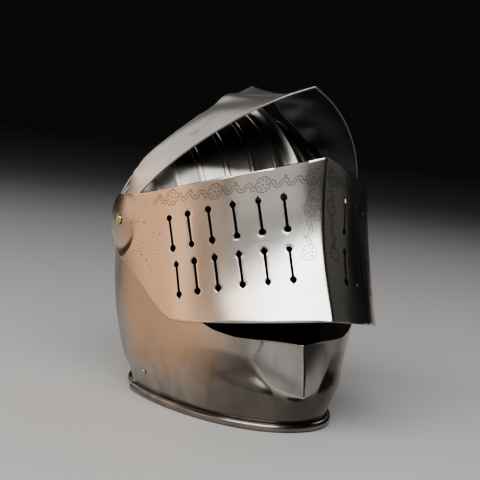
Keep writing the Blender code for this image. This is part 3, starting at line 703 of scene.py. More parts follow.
bevor_steel = steel("bevor_steel", BEVOR_BRIGHT, BEVOR_DULL, BEVOR_WARM_REFLECTION, 0.16, bevor_warm_reflection,
                    grime=1.0)

grid = bevor_grid()
out, height = np.abs(grid[..., 0]), grid[..., 2]
relief = beaten(grid, *BEVOR_HAMMER) * ease(out, 0.0, KEEL_CLEAR)
# A bright line along the keel: rubbing and painted highlight.
keel_rub_and_highlight = np.exp(-((out / KEEL_RUB_AND_HIGHLIGHT) ** 2)) * ease(height, *KEEL_FOOT)
(crease,) = from_table(CHIN_EDGE, out)
spread = PANEL_SPREAD * (height - CHIN_EDGE[0, 1])
# The panel over the prow is lighter near the keel: rubbing and painted sheen.
panel = (1.0 - ease(out - spread, *PANEL_SIDE)) * ease(height - crease, *PANEL_FOOT)
# Painted shade under the prow's lower edge, fading to the sides.
scale = ease(crease - height, 0.0, SHADE_UNDER_PROW_DROP) * (1.0 - ease(out, *SHADE_UNDER_PROW_SIDE))
bevor_mesh = plate_mesh("bevor_plate", grid, 0.0, relief,
                        np.maximum(keel_rub_and_highlight, PANEL_RUB_AND_SHEEN * panel), SHADE_UNDER_PROW * scale)
bevor = new_piece("bevor_plate", bevor_mesh, bevor_steel, inside_steel)
cut(bevor, temple_bore())
bevor_rim = rim("bevor_rim", grid[0, ::2, :2], bevor_steel)

for piece in (bevor, bevor_rim):
    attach(piece, "bevor_body")
    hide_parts("bevor")


# ------------------------ visor
# The visor is a keeled plate pierced with two rows of breaths, slits that end in drilled holes.
# A vine with rosettes is chased along its upper edge and keel, and foliage below each temple.

VISOR_RAISED = 20.5  # degrees that it stands open
VISOR_HALF_WIDTH = 0.1043
VISOR_KEEL = np.array([
    # height, keel ahead
    (0.0175, 0.1475), (-0.0100, 0.1395), (-0.0410, 0.1350), (-0.0720, 0.1355), (-0.1035, 0.1395),
])
VISOR_PROW = 0.27
VISOR_ROUND = 0.006  # how far its keel is rounded, as a share of its half width
VISOR_FULLNESS = 2.42
VISOR_EAR = 0.0205
VISOR_TOP = np.array([
    # ahead of the axis, height of the upper edge
    (0.1475, 0.0175), (0.1400, 0.0150), (0.1230, 0.0115), (0.1000, 0.0100), (0.0700, 0.0100),
    (0.0400, 0.0118), (0.0270, 0.0140), (0.0170, 0.0166), (0.0080, 0.0190), (0.0000, 0.0205),
    (-0.0080, 0.0189), (-0.0145, 0.0145), (-0.0185, 0.0088), (-0.0203, 0.0030),
])
VISOR_BOTTOM = np.array([
    # ahead of the axis, height of the lower edge
    (0.1395, -0.1035), (0.1290, -0.1025), (0.0970, -0.0980), (0.0780, -0.0945), (0.0630, -0.0915),
    (0.0510, -0.0855), (0.0385, -0.0710), (0.0260, -0.0550), (0.0168, -0.0459), (0.0060, -0.0350),
    (-0.0060, -0.0265), (-0.0145, -0.0175), (-0.0185, -0.0100), (-0.0203, -0.0030),
])
VISOR_STEP = 4  # chased cells are this much finer than plain ones
VISOR_CELLS = (68, 122)  # plain cells up the visor, and along each half of it
BREATH_ROWS = (
    # middle of the row at the ear, how much it climbs to the keel, length of a slit
    (-0.0240, 0.0046, 0.0286), (-0.0602, 0.0018, 0.0282),
)
BREATH_SIDES = (0.0245, 0.0404, 0.0552, 0.0686, 0.0790, 0.0876)
BREATH_LEAN = math.tan(math.radians(3.3))  # ahead for each metre up
BREATH_WIDTH = 0.0022
BREATH_END_RADIUS = 0.0026
BREATH_SPREAD = (0.93, 1.08)  # smallest and largest hole, as shares of that radius
BREATH_TIPS = (0.0001, 0.0008, 0.0015)  # how far a hole is drawn out to a point
BREATH_TIP_ODDS = (0.30, 0.30, 0.40)
BREATH_SEED = 5
BREATH_CUT = 0.006  # how far its cutter reaches to each side of the plate
FILED_DEPTH = 0.00007  # of the rim filed round a breath
FILED_SLIT = (0.0013, 0.0020)  # from the middle of a slit, where that rim fades
FILED_HOLE = (0.0028, 0.0036)  # from the middle of a hole
CHASE_REACH = 0.0014  # how far off a chased mark is looked for
CHASE_START = 0.0006  # how near to its middle the plate is chased
LINE_HALF = 0.00036  # half width of a chased line
LINE_DEPTH = 0.000008
DOT_RADIUS = 0.00085
DOT_DEPTH = 0.000025
ROSETTE_RADIUS = 0.0058
ROSETTE_DROP = 0.0118  # from the upper edge to the middle of a rosette
ROSETTE_FIRST = 0.0087  # from the keel, measured along the plate
ROSETTE_PITCH = 0.0374
KEEL_ROSETTES = (0.0331, 0.0666)  # drop of the two rosettes beside the keel
TENTH = 0.0001  # a tenth of a millimetre
VINE_GAP = 0.00105  # half the distance between the vine's two lines
SHARP_RUB_AND_HIGHLIGHT = 0.0014  # half width of the bright line along a sharp keel: rubbing and painted highlight
VISOR_HAMMER = (0.00024, 21)
VISOR_CLEAR = 0.014  # along the plate, how far the hammer's waves stay off its keel


def keel_at(height):
    """How far ahead the visor's keel stands at each height."""
    return from_table(VISOR_KEEL, height)[0]


def walked(points):
    """Distance along rows of points, from the first row."""
    pace = np.linalg.norm(np.diff(points, axis=0), axis=-1)
    return np.concatenate([0 * pace[:1], np.cumsum(pace, axis=0)])


def visor_plan():
    """Plan of the visor at the height of the temples, as distance along it from the keel against
    the share of its half width; past the temple, against how far behind it is."""
    share = np.sin(np.linspace(0.0, 0.5 * math.pi, 4000))
    ahead = prow(share, keel_at(np.zeros(1)), VISOR_PROW, VISOR_FULLNESS)
    return share, walked(joined(share * VISOR_HALF_WIDTH, ahead))


def visor_grid():
    """Columns evenly along the plate from the keel to the rear edge, rows between its edges.
    Returns the points, the distance along the plate and the drop below the upper edge."""
    share, distance = visor_plan()
    behind_end = -VISOR_TOP[-1, 0]
    count = VISOR_CELLS[1] * VISOR_STEP + 1
    along = np.linspace(0.0, distance[-1] + behind_end, count)
    side = np.interp(along, distance, share)
    behind = np.maximum(along - distance[-1], 0.0)
    top = np.zeros(count)
    bottom = np.full(count, -0.1)
    for _ in range(SETTLE):
        for edge, table in ((top, VISOR_TOP), (bottom, VISOR_BOTTOM)):
            reach = prow(side, keel_at(edge), VISOR_PROW, VISOR_FULLNESS) - behind
            edge += 0.4 * (from_table(table, reach)[0] - edge)
    share = np.linspace(0.0, 1.0, VISOR_CELLS[0] * VISOR_STEP + 1)[:, None]
    height = bottom + (top - bottom) * share
    soft = np.hypot(side, VISOR_ROUND) - VISOR_ROUND * (1.0 - ease(side, 0.0, 0.1))
    ahead = prow(np.minimum(side, 1.0), keel_at(height), VISOR_PROW, VISOR_FULLNESS)
    ahead = ahead * (1.0 - VISOR_PROW * (soft - side)) - behind
    points = joined(VISOR_HALF_WIDTH * side, -ahead, height)
    grid = round_ear(both_halves(points), VISOR_HALF_WIDTH, VISOR_EAR)
    signed = np.append(-along[:0:-1], along)
    drop = top - height
    return grid, signed, np.concatenate([drop[:, :0:-1], drop], axis=1)


def arc(centre, radius, start, end):
    """Part of a circle, or of a spiral if radius is a pair: from start to end, in degrees."""
    turn = np.radians(np.linspace(start, end, 3 + int(abs(end - start) / 15)))
    radius = np.linspace(*radius, len(turn)) if isinstance(radius, tuple) else radius
    return joined(centre[0] + radius * np.cos(turn), centre[1] + radius * np.sin(turn))


def through(place, *row):
    """Smooth line through a row of pairs, in tenths of a millimetre from a place."""
    knots = place + TENTH * np.reshape(row, (-1, 2))
    pace = np.arange(len(knots), dtype=float)
    at = np.linspace(0.0, len(knots) - 1.0, 8 * len(knots))
    return joined(*from_table(np.column_stack([pace, knots]), at))


def spot(place):
    """A stroke so short that it is a dot."""
    return arc(place, 0.0001, 0, 90)


def rosettes(places, radius):
    """Lobed rings, each round seven punched dots about an eighth, as strokes and dots."""
    turn = np.linspace(0.0, 2.0 * math.pi, 61)
    lobed = (radius * (0.96 + 0.04 * np.cos(7.0 * turn)))[:, None]
    rings = [place + lobed * joined(np.cos(turn), np.sin(turn)) for place in places]
    dots = [arc(place, 0.60 * radius, angle, angle + 1)
            for place in places for angle in range(20, 377, 51)]
    return rings, dots + [spot(place) for place in places]


def vine(start, end, waves, sway, lean):
    """Two lines side by side that sway from start to end, with a curl beside the last bend."""
    start, end = np.array(start), np.array(end)
    share = np.linspace(0.0, 1.0, int(26 * waves) + 2)[:, None]
    run = (end - start) / np.linalg.norm(end - start)
    aside = np.array([-run[1], run[0]])
    swing = lean + sway * np.tanh(1.4 * np.cos(2.0 * math.pi * waves * share)) / math.tanh(1.4)
    middle = start + (end - start) * share + aside * swing
    slope = np.gradient(middle, axis=0)
    slope /= np.linalg.norm(slope, axis=1)[:, None]
    square = joined(-slope[:, 1], slope[:, 0])
    lines = [middle + VINE_GAP * square, middle - VINE_GAP * square]
    at = start + (end - start) * (int(waves) - 0.5) / waves + aside * (lean - 2.2 * sway)
    facing = math.degrees(math.atan2(aside[1], aside[0]))
    return lines + [arc(at, (0.0013, 0.0005), facing, facing + 300)]


def nearest(flat, strokes, reach):
    """Distance from each flat point to the closest stroke, looked for only within reach of it."""
    found = np.full(len(flat), 1.0)
    for stroke in strokes:
        low, high = stroke.min(axis=0) - reach, stroke.max(axis=0) + reach
        close = np.nonzero(((flat > low) & (flat < high)).all(axis=1))[0]
        start, run = stroke[:-1], np.diff(stroke, axis=0)
        for part in np.array_split(close, 1 + len(close) // 4000):
            offset = flat[part, None] - start
            share = (offset * run).sum(-1) / np.maximum((run**2).sum(-1), 1e-14)
            miss = offset - np.clip(share, 0.0, 1.0)[..., None] * run
            found[part] = np.minimum(found[part], np.sqrt((miss**2).sum(-1)).min(axis=1))
    return found


def border_strokes():
    """The vine and rosettes of one half, as (distance along the plate, drop) strokes and dots."""
    places = [(ROSETTE_FIRST + ROSETTE_PITCH * i, ROSETTE_DROP - 0.0015 * i) for i in range(4)]
    keel_places = [(ROSETTE_FIRST + 0.0005 + 0.0026 * i, d) for i, d in enumerate(KEEL_ROSETTES)]
    rings, dots = rosettes(places + keel_places, ROSETTE_RADIUS)
    for left, right in zip(places[:-1], places[1:]):
        start = (left[0] + ROSETTE_RADIUS + 0.0002, left[1])
        end = (right[0] - ROSETTE_RADIUS - 0.0002, right[1])
        rings += vine(start, end, waves=2.5, sway=0.0019, lean=0.0006)
    last = places[-1]
    rings += vine((last[0] + ROSETTE_RADIUS, last[1]), (last[0] + 0.019, last[1] - 0.001),
                  waves=1.0, sway=0.0018, lean=0.0008)
    upper, lower = keel_places
    rings += vine((upper[0], upper[1] + ROSETTE_RADIUS), (lower[0], lower[1] - ROSETTE_RADIUS),
                  waves=2.0, sway=0.0014, lean=0.0)
    rings.append(through(upper, 36, -45, 22, -80, 16, -104, -4, -121, -24, -114))
    rings.append(through(upper, -12, -57, 2, -76, -2, -92, -16, -98))
    return rings, dots


def cheek_strokes():
    """Foliage below the temple, as (ahead, height) strokes and dots: a tendril that climbs ahead
    of the rivet, a scroll inside two rows of petals, and three leaves that hang from it."""
    lines = (       # ahead and height of each point, in tenths of a millimetre
        (342, -68, 320, -18, 342, 20, 385, 42, 430, 64, 464, 56, 458, 28),
        (356, -36, 348, 0, 378, 22, 416, 38, 440, 30),
        (316, -114, 352, -136, 384, -168, 412, -197),
        (412, -203, 442, -207, 464, -220, 482, -252, 500, -292),
        (444, -226, 464, -256, 484, -296),
        (560, -256, 554, -290, 530, -316, 500, -324, 468, -312),
        (538, -262, 532, -284, 512, -302),
        (388, -280, 396, -248, 420, -230, 446, -240),
        (404, -286, 412, -262, 428, -250),
        (376, -226, 362, -262, 332, -284, 296, -286, 260, -270, 230, -240),
        (352, -222, 338, -248, 306, -264, 274, -252),
        (262, -290, 298, -302, 340, -300, 376, -320, 420, -336, 450, -340),
        (486, -372, 480, -402, 456, -432, 424, -450),
        (456, -388, 450, -408, 430, -428),
        (376, -372, 394, -378, 414, -376),
        (196, -288, 238, -304, 288, -318, 330, -320),
        (342, -428, 364, -440, 392, -444),
        (352, -446, 372, -456, 394, -458),
        (400, -456, 396, -496, 390, -552),
        (384, -462, 382, -490, 378, -516),
    )
    curls = [
        arc((0.0322, -0.0002), (0.0028, 0.0009), 110, 430),
        arc((0.0270, -0.0178), (0.0068, 0.0012), 70, 640),
        arc((0.0316, -0.0228), (0.0030, 0.0008), 170, 560),
        arc((0.0462, -0.0362), (0.0026, 0.0009), 110, -220),
    ]
    petals = [arc((0.0262 + 0.0112 * math.cos(t), -0.0188 + 0.0112 * math.sin(t)), 0.0034,
                  math.degrees(t) - 100, math.degrees(t) + 100)
              for t in np.radians((168, 198, 228, 258))]
    dots = [spot(place) for place in
            ((0.0182, -0.0072), (0.0256, -0.0080), (0.0290, -0.0084), (0.0160, -0.0118),
             (0.0352, -0.0108), (0.0500, -0.0228), (0.0300, -0.0350), (0.0352, -0.0402))]
    return [through((0.0, 0.0), *line) for line in lines] + curls + petals, dots


def breath_places():
    """For each breath: distance along the plate to its middle, height, length, and its side."""
    share, distance = visor_plan()
    halfway = 0.5 * (BREATH_ROWS[0][0] + BREATH_ROWS[1][0])
    places = []
    for base, climb, length in BREATH_ROWS:
        for upright in BREATH_SIDES:
            middle = base + climb * (1.0 - upright / BREATH_SIDES[-1])
            side = upright + BREATH_LEAN * (middle - halfway)
            at = float(np.interp(side / VISOR_HALF_WIDTH, share, distance))
            places.append((at, middle, length, side))
    return places


def breath_lines():
    """Each slit as a (distance along the plate, height) stroke, and its two holes as dots."""
    slits, holes = [], []
    for at, middle, length, _ in breath_places():
        half = 0.5 * length - BREATH_END_RADIUS
        step = np.array((BREATH_LEAN * half, half))
        ends = np.array([(at, middle) - step, (at, middle) + step])
        slits.append(ends)
        holes += [spot(end) for end in ends]
    return slits, holes


def breath_outline(length, radii, tips):
    """Slit with a hole at each end, drawn out to a filed point: (across, up) from its middle."""
    ends = []
    for radius, tip in zip(radii, tips):
        neck = math.degrees(math.asin(0.5 * BREATH_WIDTH / radius))
        right = np.radians(np.linspace(neck - 90.0, 62.0, 9))
        up = radius * np.sin(right)
        across = radius * np.cos(right)
        point = np.array([(0.16 * radius, radius * 0.93 + 0.6 * tip), (0.0, radius + tip)])
        rise = 0.5 * length - BREATH_END_RADIUS
        half = np.concatenate([joined(across, up), point])
        ring = np.concatenate([half, half[-2::-1] * (-1.0, 1.0)])
        ends.append(ring + (0.0, rise))
    return np.concatenate([ends[0], ends[1] * (-1.0, -1.0)])


def breath_cutters():
    """One prism for each breath on both sides, square to the plate where it stands."""
    draw = np.random.default_rng(BREATH_SEED)
    points, corners, counts, start = [], [], [], 0
    for _, middle, length, side in breath_places():
        share = np.array([side - 0.001, side, side + 0.001]) / VISOR_HALF_WIDTH
        ahead = prow(share, keel_at(np.array([middle])), VISOR_PROW, VISOR_FULLNESS)
        slope = math.atan2(ahead[0] - ahead[2], 0.002)
        for hand in (-1.0, 1.0):
            radii = BREATH_END_RADIUS * draw.uniform(*BREATH_SPREAD, 2)
            tips = draw.choice(BREATH_TIPS, 2, p=BREATH_TIP_ODDS)
            flat = breath_outline(length, radii, tips)
            normal = np.array([hand * math.sin(slope), -math.cos(slope), 0.0])
            across = np.array([math.cos(slope), hand * math.sin(slope), 0.0])
            middle_point = np.array([hand * side, -ahead[1], middle])
            leaning = flat[:, :1] + hand * BREATH_LEAN * flat[:, 1:]
            ring = middle_point + leaning * across + flat[:, 1:] * (0.0, 0.0, 1.0)
            points += [ring - BREATH_CUT * normal, ring + BREATH_CUT * normal]
            faces, sizes = capped(2, len(flat))
            corners.append(start + faces)
            counts.append(sizes)
            start += 2 * len(flat)
    counts = np.concatenate(counts)
    mesh = new_mesh("breath_cutters", raised(np.concatenate(points), VISOR_RAISED),
                    np.concatenate(corners), counts, np.ones(len(counts), np.int32))
    return face_out(mesh)


def chasing(flat, strokes, dots, shadow, shine):
    """Depth at flat points of lines and dots, how dark and how bright they are, and how far off
    they begin. A line is a shallow groove with painted highlight in it and along each side, a dot
    is a pit."""
    line, dot = nearest(flat, strokes, CHASE_REACH), nearest(flat, dots, CHASE_REACH)
    groove = np.maximum(1.0 - (line / LINE_HALF) ** 2, 0.0)
    pit = np.maximum(1.0 - (dot / DOT_RADIUS) ** 2, 0.0)
    dark = np.maximum(shadow * (1.0 - ease(line, 0.0001, 1.4 * LINE_HALF)),
                      1.0 - ease(dot, 0.4 * DOT_RADIUS, 1.1 * DOT_RADIUS))
    # Painted highlight along each side of a line.
    edge_highlight = np.exp(-(((line - 2.1 * LINE_HALF) / (0.8 * LINE_HALF)) ** 2))
    bright = shine * np.maximum(edge_highlight, 0.7 * groove)
    start = np.minimum(line, dot) - CHASE_START
    return -LINE_DEPTH * groove - DOT_DEPTH * pit, dark, bright, start


def fine_blocks(touched, step):
    """Which cells of step squares hold chasing. The outermost cells stay plain."""
    rows, columns = (np.array(touched.shape) - 1) // step
    fine = touched[:-1, :-1].reshape(rows, step, columns, step).min(axis=(1, 3)) < 0.0
    fine[[0, -1]] = False
    fine[:, [0, -1]] = False
    return fine


def visor_marks(grid, along, drop):
    """Depth of the border, the foliage and the filed rims of the breaths at each point of the
    visor, how dark it is there, how bright its painted highlights make it, and how far off such
    marks begin."""
    path = np.abs(along)
    border = joined(path, drop).reshape(-1, 2)
    cheek = grid[..., 1:].reshape(-1, 2) * (-1.0, 1.0)
    first = chasing(border, *border_strokes(), shadow=1.0, shine=0.0)
    second = chasing(cheek, *cheek_strokes(), shadow=0.40, shine=0.45)
    flat = joined(path, grid[..., 2]).reshape(-1, 2)
    slits, holes = breath_lines()
    slit, hole = nearest(flat, slits, 0.0040), nearest(flat, holes, 0.0050)
    filed = 1.0 - np.minimum(ease(slit, *FILED_SLIT), ease(hole, *FILED_HOLE))
    depth = first[0] + second[0] - FILED_DEPTH * filed
    dark = np.maximum(first[1], second[1])
    # Painted highlights along the cheek's lines and on the filed rims round the breaths.
    bright = np.maximum(second[2], 0.7 * filed) * (1.0 - dark)
    touched = np.minimum(np.minimum(first[3], second[3]), np.minimum(slit - 0.0022, hole - 0.0037))
    return [values.reshape(drop.shape) for values in (depth, dark, bright, touched)]


def visor_warm_reflection(shade, axes, cloud, mottle):
    """Painted warm reflection over the cheeks, fading towards the keel and behind the temples."""
    side = shade.maths("ABSOLUTE", axes[0]).step(0.030, 0.098)
    return side * axes[1].step(0.045, 0.002) * (0.84 + mottle * 0.25 - cloud * 0.14)


VISOR_BRIGHT = (0.70, 0.68, 0.655, 1.0)
VISOR_DULL = (0.52, 0.495, 0.475, 1.0)
VISOR_WARM_REFLECTION = (0.78, 0.47, 0.265, 1.0)

visor_steel = steel("visor_steel", VISOR_BRIGHT, VISOR_DULL, VISOR_WARM_REFLECTION, 0.16, visor_warm_reflection,
                    grime=0.6)

grid, along, drop = visor_grid()
relief, dark, painted_highlights, touched = visor_marks(grid, along, drop)
relief = relief + beaten(grid, *VISOR_HAMMER) * ease(np.abs(along), 0.0, VISOR_CLEAR)
worn_and_highlight = np.maximum(np.exp(-((grid[..., 0] / SHARP_RUB_AND_HIGHLIGHT) ** 2)), painted_highlights)
visor_mesh = plate_mesh("visor_plate", grid, VISOR_RAISED, relief, worn_and_highlight, dark,
                        fine_blocks(touched, VISOR_STEP), VISOR_STEP)
visor = new_piece("visor_plate", visor_mesh, visor_steel, inside_steel)
cut(visor, breath_cutters(), temple_bore())

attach(visor, "visor_body")
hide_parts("visor")


# ------------------------ peak
# The peak is the brow plate that shuts down over the sight. It has a keel, hollow in the middle,
# and its upper edge is cut in cusps. It turns between the bevor and the visor.

PEAK_RAISED = 49.0  # degrees from level to its lower edge
PEAK_HALF_WIDTH = 0.1024
PEAK_FRONT = 0.1590
PEAK_BACK = np.array([
    # from the keel at 0 to the temple at 1, reach of the upper edge
    (0.000, 0.1152), (0.060, 0.1114), (0.115, 0.1083), (0.175, 0.1076), (0.240, 0.1045),
    (0.310, 0.0970), (0.460, 0.0862), (0.610, 0.0737), (0.711, 0.0650), (0.810, 0.0560),
    (0.900, 0.0440), (0.960, 0.0300), (1.000, 0.0000),
])
PEAK_SWEEP = 40.0
PEAK_PROW = 0.35
PEAK_FULLNESS = 2.38
PEAK_HOLLOW = np.array([
    # from the lower edge at 0 to the upper edge at 1, how far the keel sags
    (0.00, 0.0000), (0.14, 0.0120), (0.28, 0.0175), (0.45, 0.0180), (0.70, 0.0125), (1.00, 0.0000),
])
PEAK_EAR = 0.0165
PEAK_STEP = 4
PEAK_ROSETTES = ((0.0620, 0.0278), (0.0803, 0.0182))  # from the keel, up from the edge
PEAK_ROSETTE_RADIUS = 0.0046
PEAK_HAMMER = (0.00022, 31)


def peak_grid():
    """Columns from the keel out to the temple, rows fanned from the lower to the upper edge.
    Each is PEAK_STEP times closer together than the plain cells."""
    turn = np.concatenate([np.linspace(0.0, 3.0, 33), np.linspace(3.2, 77.5, 412)])
    side = np.sin(np.radians(turn))
    share = np.linspace(0.0, 1.0, 45 * PEAK_STEP + 1)[:, None]
    front = prow(side, PEAK_FRONT, PEAK_PROW, PEAK_FULLNESS)
    (back,), (sag,) = from_table(PEAK_BACK, side), from_table(PEAK_HOLLOW, share)
    angle = np.radians(PEAK_SWEEP) * share
    reach = front * (1.0 - share) + back * share - sag * (1.0 - side) ** 2
    arm = joined(PEAK_HALF_WIDTH * side, -reach * np.cos(angle), reach * np.sin(angle))
    outer = PEAK_EAR * np.cos(np.radians(np.linspace(28.4, 168.5, 89)))
    across = np.sqrt(PEAK_EAR**2 - outer**2) * (2.0 * share - 1.0)
    middle = math.radians(0.5 * PEAK_SWEEP)
    ear_y = -(outer * math.cos(middle) - across * math.sin(middle))
    ear_z = outer * math.sin(middle) + across * math.cos(middle)
    ear_x = PEAK_HALF_WIDTH - (ear_y**2 + ear_z**2) / EAR_DISH
    ear = joined(ear_x, ear_y, ear_z)
    gap = np.linspace(0.0, 1.0, 25)[1:-1, None]
    bridge = arm[:, -1:] * (1.0 - gap) + ear[:, :1] * gap
    half = np.concatenate([arm, bridge, ear], axis=1)
    return round_ear(both_halves(half), PEAK_HALF_WIDTH, PEAK_EAR)


def peak_marks(grid):
    """Two rosettes on each arm, faint from wear, and the vine between and beside them, placed by
    distance along the plate from the keel and up it from the lower edge."""
    along, up = walked(grid[grid.shape[0] // 2]), walked(grid)
    along = np.abs(along - along[len(along) // 2])
    flat = joined(along, up).reshape(-1, 2)
    rings, dots = rosettes(PEAK_ROSETTES, PEAK_ROSETTE_RADIUS)
    (x, y), (far_x, far_y) = PEAK_ROSETTES
    rings += vine((x + 0.0041, y - 0.0021), (far_x - 0.0041, far_y + 0.0021),
                  waves=1.0, sway=0.0012, lean=0.0)
    rings += vine((x - 0.0150, y + 0.0074), (x - 0.0041, y + 0.0021),
                  waves=1.5, sway=0.0014, lean=0.0)
    marks = chasing(flat, rings, dots, shadow=0.35, shine=0.0)
    return [values.reshape(up.shape) for values in marks]


def peak_tint(shade, axes, cloud, mottle):
    """Warm on the arms, towards the temples."""
    return shade.maths("ABSOLUTE", axes[0]).step(0.070, 0.105) * 0.55 + mottle * 0.10


PEAK_BRIGHT = (0.66, 0.64, 0.60, 1.0)
PEAK_DULL = (0.47, 0.44, 0.41, 1.0)
PEAK_WARM = (0.62, 0.49, 0.38, 1.0)

peak_steel = steel("peak_steel", PEAK_BRIGHT, PEAK_DULL, PEAK_WARM, 0.27, peak_tint)

grid = peak_grid()
relief, dark, painted_highlights, touched = peak_marks(grid)
relief = relief + beaten(grid, *PEAK_HAMMER) * ease(np.abs(grid[..., 0]), 0.0, KEEL_CLEAR)
worn_and_highlight = np.maximum(np.exp(-((grid[..., 0] / SHARP_RUB_AND_HIGHLIGHT) ** 2)), painted_highlights)
peak_mesh = plate_mesh("peak_plate", grid, PEAK_RAISED, relief, worn_and_highlight, dark,
                       fine_blocks(touched, PEAK_STEP), PEAK_STEP)
peak = new_piece("peak_plate", peak_mesh, peak_steel, inside_steel)
cut(peak, temple_bore())

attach(peak, "peak_body")
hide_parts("peak")


# ------------------------ temple rivets
# Each temple rivet is brass with a hammered dome. Its shank holds all four plates, and it is
# clenched flat inside the skull.

RIVET_SHANK = 0.0026
RIVET_HEAD = 0.0046
RIVET_DOME = 0.0028
RIVET_CLENCH = 0.0042
RIVET_FOOT = 0.0012
RIVET_GAP = 0.0003
BRASS_RUBBED = (0.58, 0.46, 0.20, 1.0)
BRASS_BROWN = (0.20, 0.15, 0.06, 1.0)
RIVET_SIDES = 48


def rivet_profile(head, dome, shank, grip, clench, foot):
    """(radius, height) from the top of the dome down to the clench, with both edges eased."""
    turn = np.radians(np.linspace(90.0, 6.0, 15))
    cap = joined(head * np.cos(turn), dome * np.sin(turn))
    lip = np.array([(head, 0.03 * dome), (0.97 * head, 0.0), (shank, 0.0), (shank, -grip)])
    end = joined((0.94 * clench, clench, clench, 0.88 * clench, 0.0),
                 -grip - foot * np.array((0.0, 0.2, 0.7, 1.0, 1.0)))
    return np.concatenate([cap, lip, end])


def rivet_head(name, profile, place, facing, finish):
    """Profile turned about its axis, dented by the hammer, standing at place and facing out."""
    head = profile[:, 0].max()
    points = np.zeros((len(profile), RIVET_SIDES, 3))
    points[..., :2] = profile[:, None, :1] * disc(1.0, RIVET_SIDES)
    points[..., 2] = height = profile[:, 1:]
    points[..., 2] += beaten(points / head * 0.045, 0.02 * head, 41) * (height > 0)
    axis = np.array(Vector(facing).to_track_quat("Z", "Y").to_matrix())
    points = points.reshape(-1, 3) @ axis.T + place
    cells = polar_cells(len(profile), RIVET_SIDES)
    mesh = new_mesh(name, points + TEMPLE, cells.ravel(), np.full(len(cells), 4))
    face_out(mesh).set_sharp_from_angle(angle=math.radians(40))
    return new_piece(name, mesh, finish)


def brass_finish(name):
    """Brass mottled in patches of brown and of yellow brightened by rubbing."""
    material, shader, shade, place = new_finish(name)
    cloud = shade.noise(place, 420.0, 4.0, 0.6)
    fleck = shade.noise(place, 2600.0, 2.0, 0.5)
    colour = shade.between(cloud.step(0.42, 0.66), BRASS_RUBBED, BRASS_BROWN)
    rough = 0.14 + cloud * 0.14 + fleck * 0.05
    height = cloud * 0.6 + fleck * 0.4
    bump = shade.node("Bump", {"Strength": 0.20, "Distance": 0.0002, "Height": height})
    as_metal(shader, colour, rough, bump)
    return material


rivet_brass = brass_finish("rivet_brass")
grip = VISOR_HALF_WIDTH - SKULL_HALF_WIDTH + WALL + 2.0 * RIVET_GAP
profile = rivet_profile(RIVET_HEAD, RIVET_DOME, RIVET_SHANK, grip, RIVET_CLENCH, RIVET_FOOT)
for hand, name in ((-1.0, "temple_rivet_right"), (1.0, "temple_rivet_left")):
    place = (hand * (VISOR_HALF_WIDTH + RIVET_GAP), 0.0, 0.0)
    rivet = rivet_head(name + "_head", profile, place, (hand, 0.0, 0.0), rivet_brass)
    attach(rivet, "skull_body")
    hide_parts(name)


# ------------------------ bevor rivets
# A small steel rivet stands low on each side of the bevor, near its rear edge. Its shank goes
# through the plate, and is clenched behind it.

SMALL_RIVET_AT = (0.0175, -0.1190)
SMALL_RIVET_HEAD = 0.0026
SMALL_RIVET_DOME = 0.0014
SMALL_RIVET_SHANK = 0.0013
SMALL_RIVET_CLENCH = 0.0021
SMALL_RIVET_FOOT = 0.0008


def bevor_side_point(ahead, height):
    """(x, y, z) of the bevor's outer surface beside the neck, on the wearer's left."""
    half, reach, full = from_table(BEVOR_SECTIONS, np.array([height]))
    side = (1.0 - (ahead / reach[0]) ** 2) ** (1.0 / full[0])
    return np.array([half[0] * side, -ahead, height])


RIVET_BRIGHT = (0.44, 0.42, 0.40, 1.0)
RIVET_DULL = (0.16, 0.15, 0.14, 1.0)
RIVET_WARM = (0.30, 0.20, 0.14, 1.0)

rivet_steel = steel("rivet_steel", RIVET_BRIGHT, RIVET_DULL, RIVET_WARM, 0.26, faint_tint,
                    grime=0.8, rub=None)
ahead, height = SMALL_RIVET_AT
near, step = bevor_side_point(ahead, height), 0.0005
run = bevor_side_point(ahead - step, height) - bevor_side_point(ahead + step, height)
rise = bevor_side_point(ahead, height + step) - bevor_side_point(ahead, height - step)
facing = np.cross(run, rise)
facing /= np.linalg.norm(facing)
profile = rivet_profile(SMALL_RIVET_HEAD, SMALL_RIVET_DOME, SMALL_RIVET_SHANK,
                        WALL + 2.0 * RIVET_GAP, SMALL_RIVET_CLENCH, SMALL_RIVET_FOOT)
for hand, name in ((-1.0, "bevor_rivet_right"), (1.0, "bevor_rivet_left")):
    mirrored = np.array((hand, 1.0, 1.0))
    place = (near + RIVET_GAP * facing) * mirrored
    rivet = rivet_head(name + "_head", profile, place, facing * mirrored, rivet_steel)
    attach(rivet, "bevor_body")
    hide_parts(name)


# ------------------------ studio
# A pale floor with painted shade that darkens it with distance, soft lights beside, above and
# behind, and a camera low at the helmet's right front, with a long lens.

FLOOR_RADIUS = 6.0
FLOOR_SIDES = 96
FLOOR_FADE = (0.3, 2.6)  # distances between which painted shade darkens it
FLOOR_NEAR = (0.42, 0.415, 0.41, 1.0)
FLOOR_FAR = (0.11, 0.11, 0.115, 1.0)
FLOOR_DROP = 0.0002  # so that the rims do not flicker against it
LIT_POINT = Vector((0.0, 0.0, 0.13))
DARKNESS = (0.0045, 0.0045, 0.005, 1.0)


def floor_finish():
    """Pale matt floor, with painted shade that darkens it slowly with distance."""
    material, shader, shade, place = new_finish("floor")
    away = shade.node("VectorMath", {0: place}, "Value", operation="LENGTH")
    pale = shade.between(away.step(*FLOOR_FADE), FLOOR_NEAR, FLOOR_FAR)
    pale.tree.links.new(pale.socket, shader.inputs["Base Color"])
    shader.inputs["Roughness"].default_value = 0.6
    return material


edge = np.full((FLOOR_SIDES, 3), -FLOOR_DROP)
edge[:, :2] = disc(FLOOR_RADIUS, FLOOR_SIDES)
floor_mesh = new_mesh("floor", edge, np.arange(FLOOR_SIDES), np.array([FLOOR_SIDES]))
floor = new_piece("floor", floor_mesh, floor_finish())


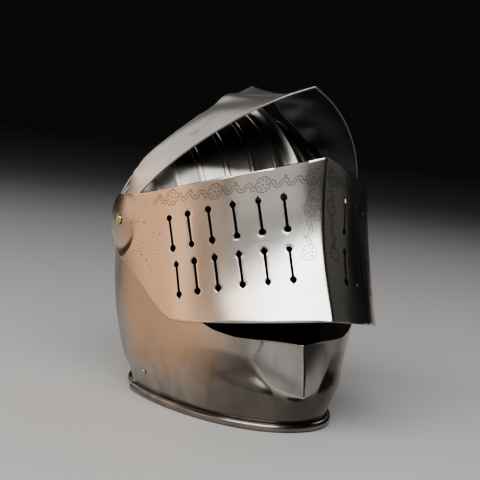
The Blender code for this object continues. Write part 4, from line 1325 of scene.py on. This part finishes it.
def soft_light(name, bearing, elevation, distance, size, power, colour):
    """Rectangle of light at a bearing from straight ahead towards the wearer's right."""
    data = bpy.data.lights.new(name, "AREA")
    data.shape = "RECTANGLE"
    data.size, data.size_y = size
    data.energy = power
    data.color = colour
    light = bpy.data.objects.new(name, data)
    bearing, elevation = math.radians(bearing), math.radians(elevation)
    way = Vector((-math.sin(bearing) * math.cos(elevation),
                  -math.cos(bearing) * math.cos(elevation), math.sin(elevation)))
    light.location = LIT_POINT + way * distance
    light.rotation_euler = way.to_track_quat("Z", "Y").to_euler()
    bpy.context.scene.collection.objects.link(light)


# name, bearing, elevation, distance, size, power, colour
soft_light("key", 42.0, 44.0, 1.8, (2.2, 1.1), 66.0, (1.0, 0.98, 0.95))
soft_light("side", 84.0, 17.0, 1.9, (1.2, 1.1), 1.6, (1.0, 0.92, 0.84))
soft_light("fill", 40.0, 8.0, 2.1, (1.7, 0.6), 2.0, (1.0, 0.97, 0.93))
soft_light("warm_side", 118.0, 10.0, 1.9, (2.2, 1.3), 10.0, (1.0, 0.80, 0.62))
soft_light("back", 158.0, 27.0, 2.0, (1.8, 1.1), 6.0, (1.0, 0.97, 0.94))
soft_light("far_side", -128.0, 36.0, 2.2, (1.0, 1.0), 8.0, (0.97, 0.97, 1.0))
soft_light("far_fill", -70.0, 14.0, 2.2, (1.6, 1.0), 0.35, (1.0, 0.95, 0.88))

world = bpy.data.worlds.new("studio")
world.use_nodes = True
world.node_tree.nodes["Background"].inputs["Color"].default_value = DARKNESS
bpy.context.scene.world = world

CAMERA_PLACE = (-0.53989, -0.99089, 0.25043)
CAMERA_BEARING = 28.25
CAMERA_PITCH = 5.98
CAMERA_ROLL = 6.0
CAMERA_LENS = 104.7

camera_data = bpy.data.cameras.new("camera")
camera_data.lens = CAMERA_LENS
camera_data.sensor_width = 36.0
camera = bpy.data.objects.new("camera", camera_data)
camera.location = CAMERA_PLACE
aim = Euler((math.radians(90.0 - CAMERA_PITCH), 0.0, -math.radians(CAMERA_BEARING)), "XYZ")
roll = Matrix.Rotation(math.radians(CAMERA_ROLL), 3, "Z")
camera.rotation_euler = (aim.to_matrix() @ roll).to_euler()
bpy.context.scene.collection.objects.link(camera)
bpy.context.scene.camera = camera
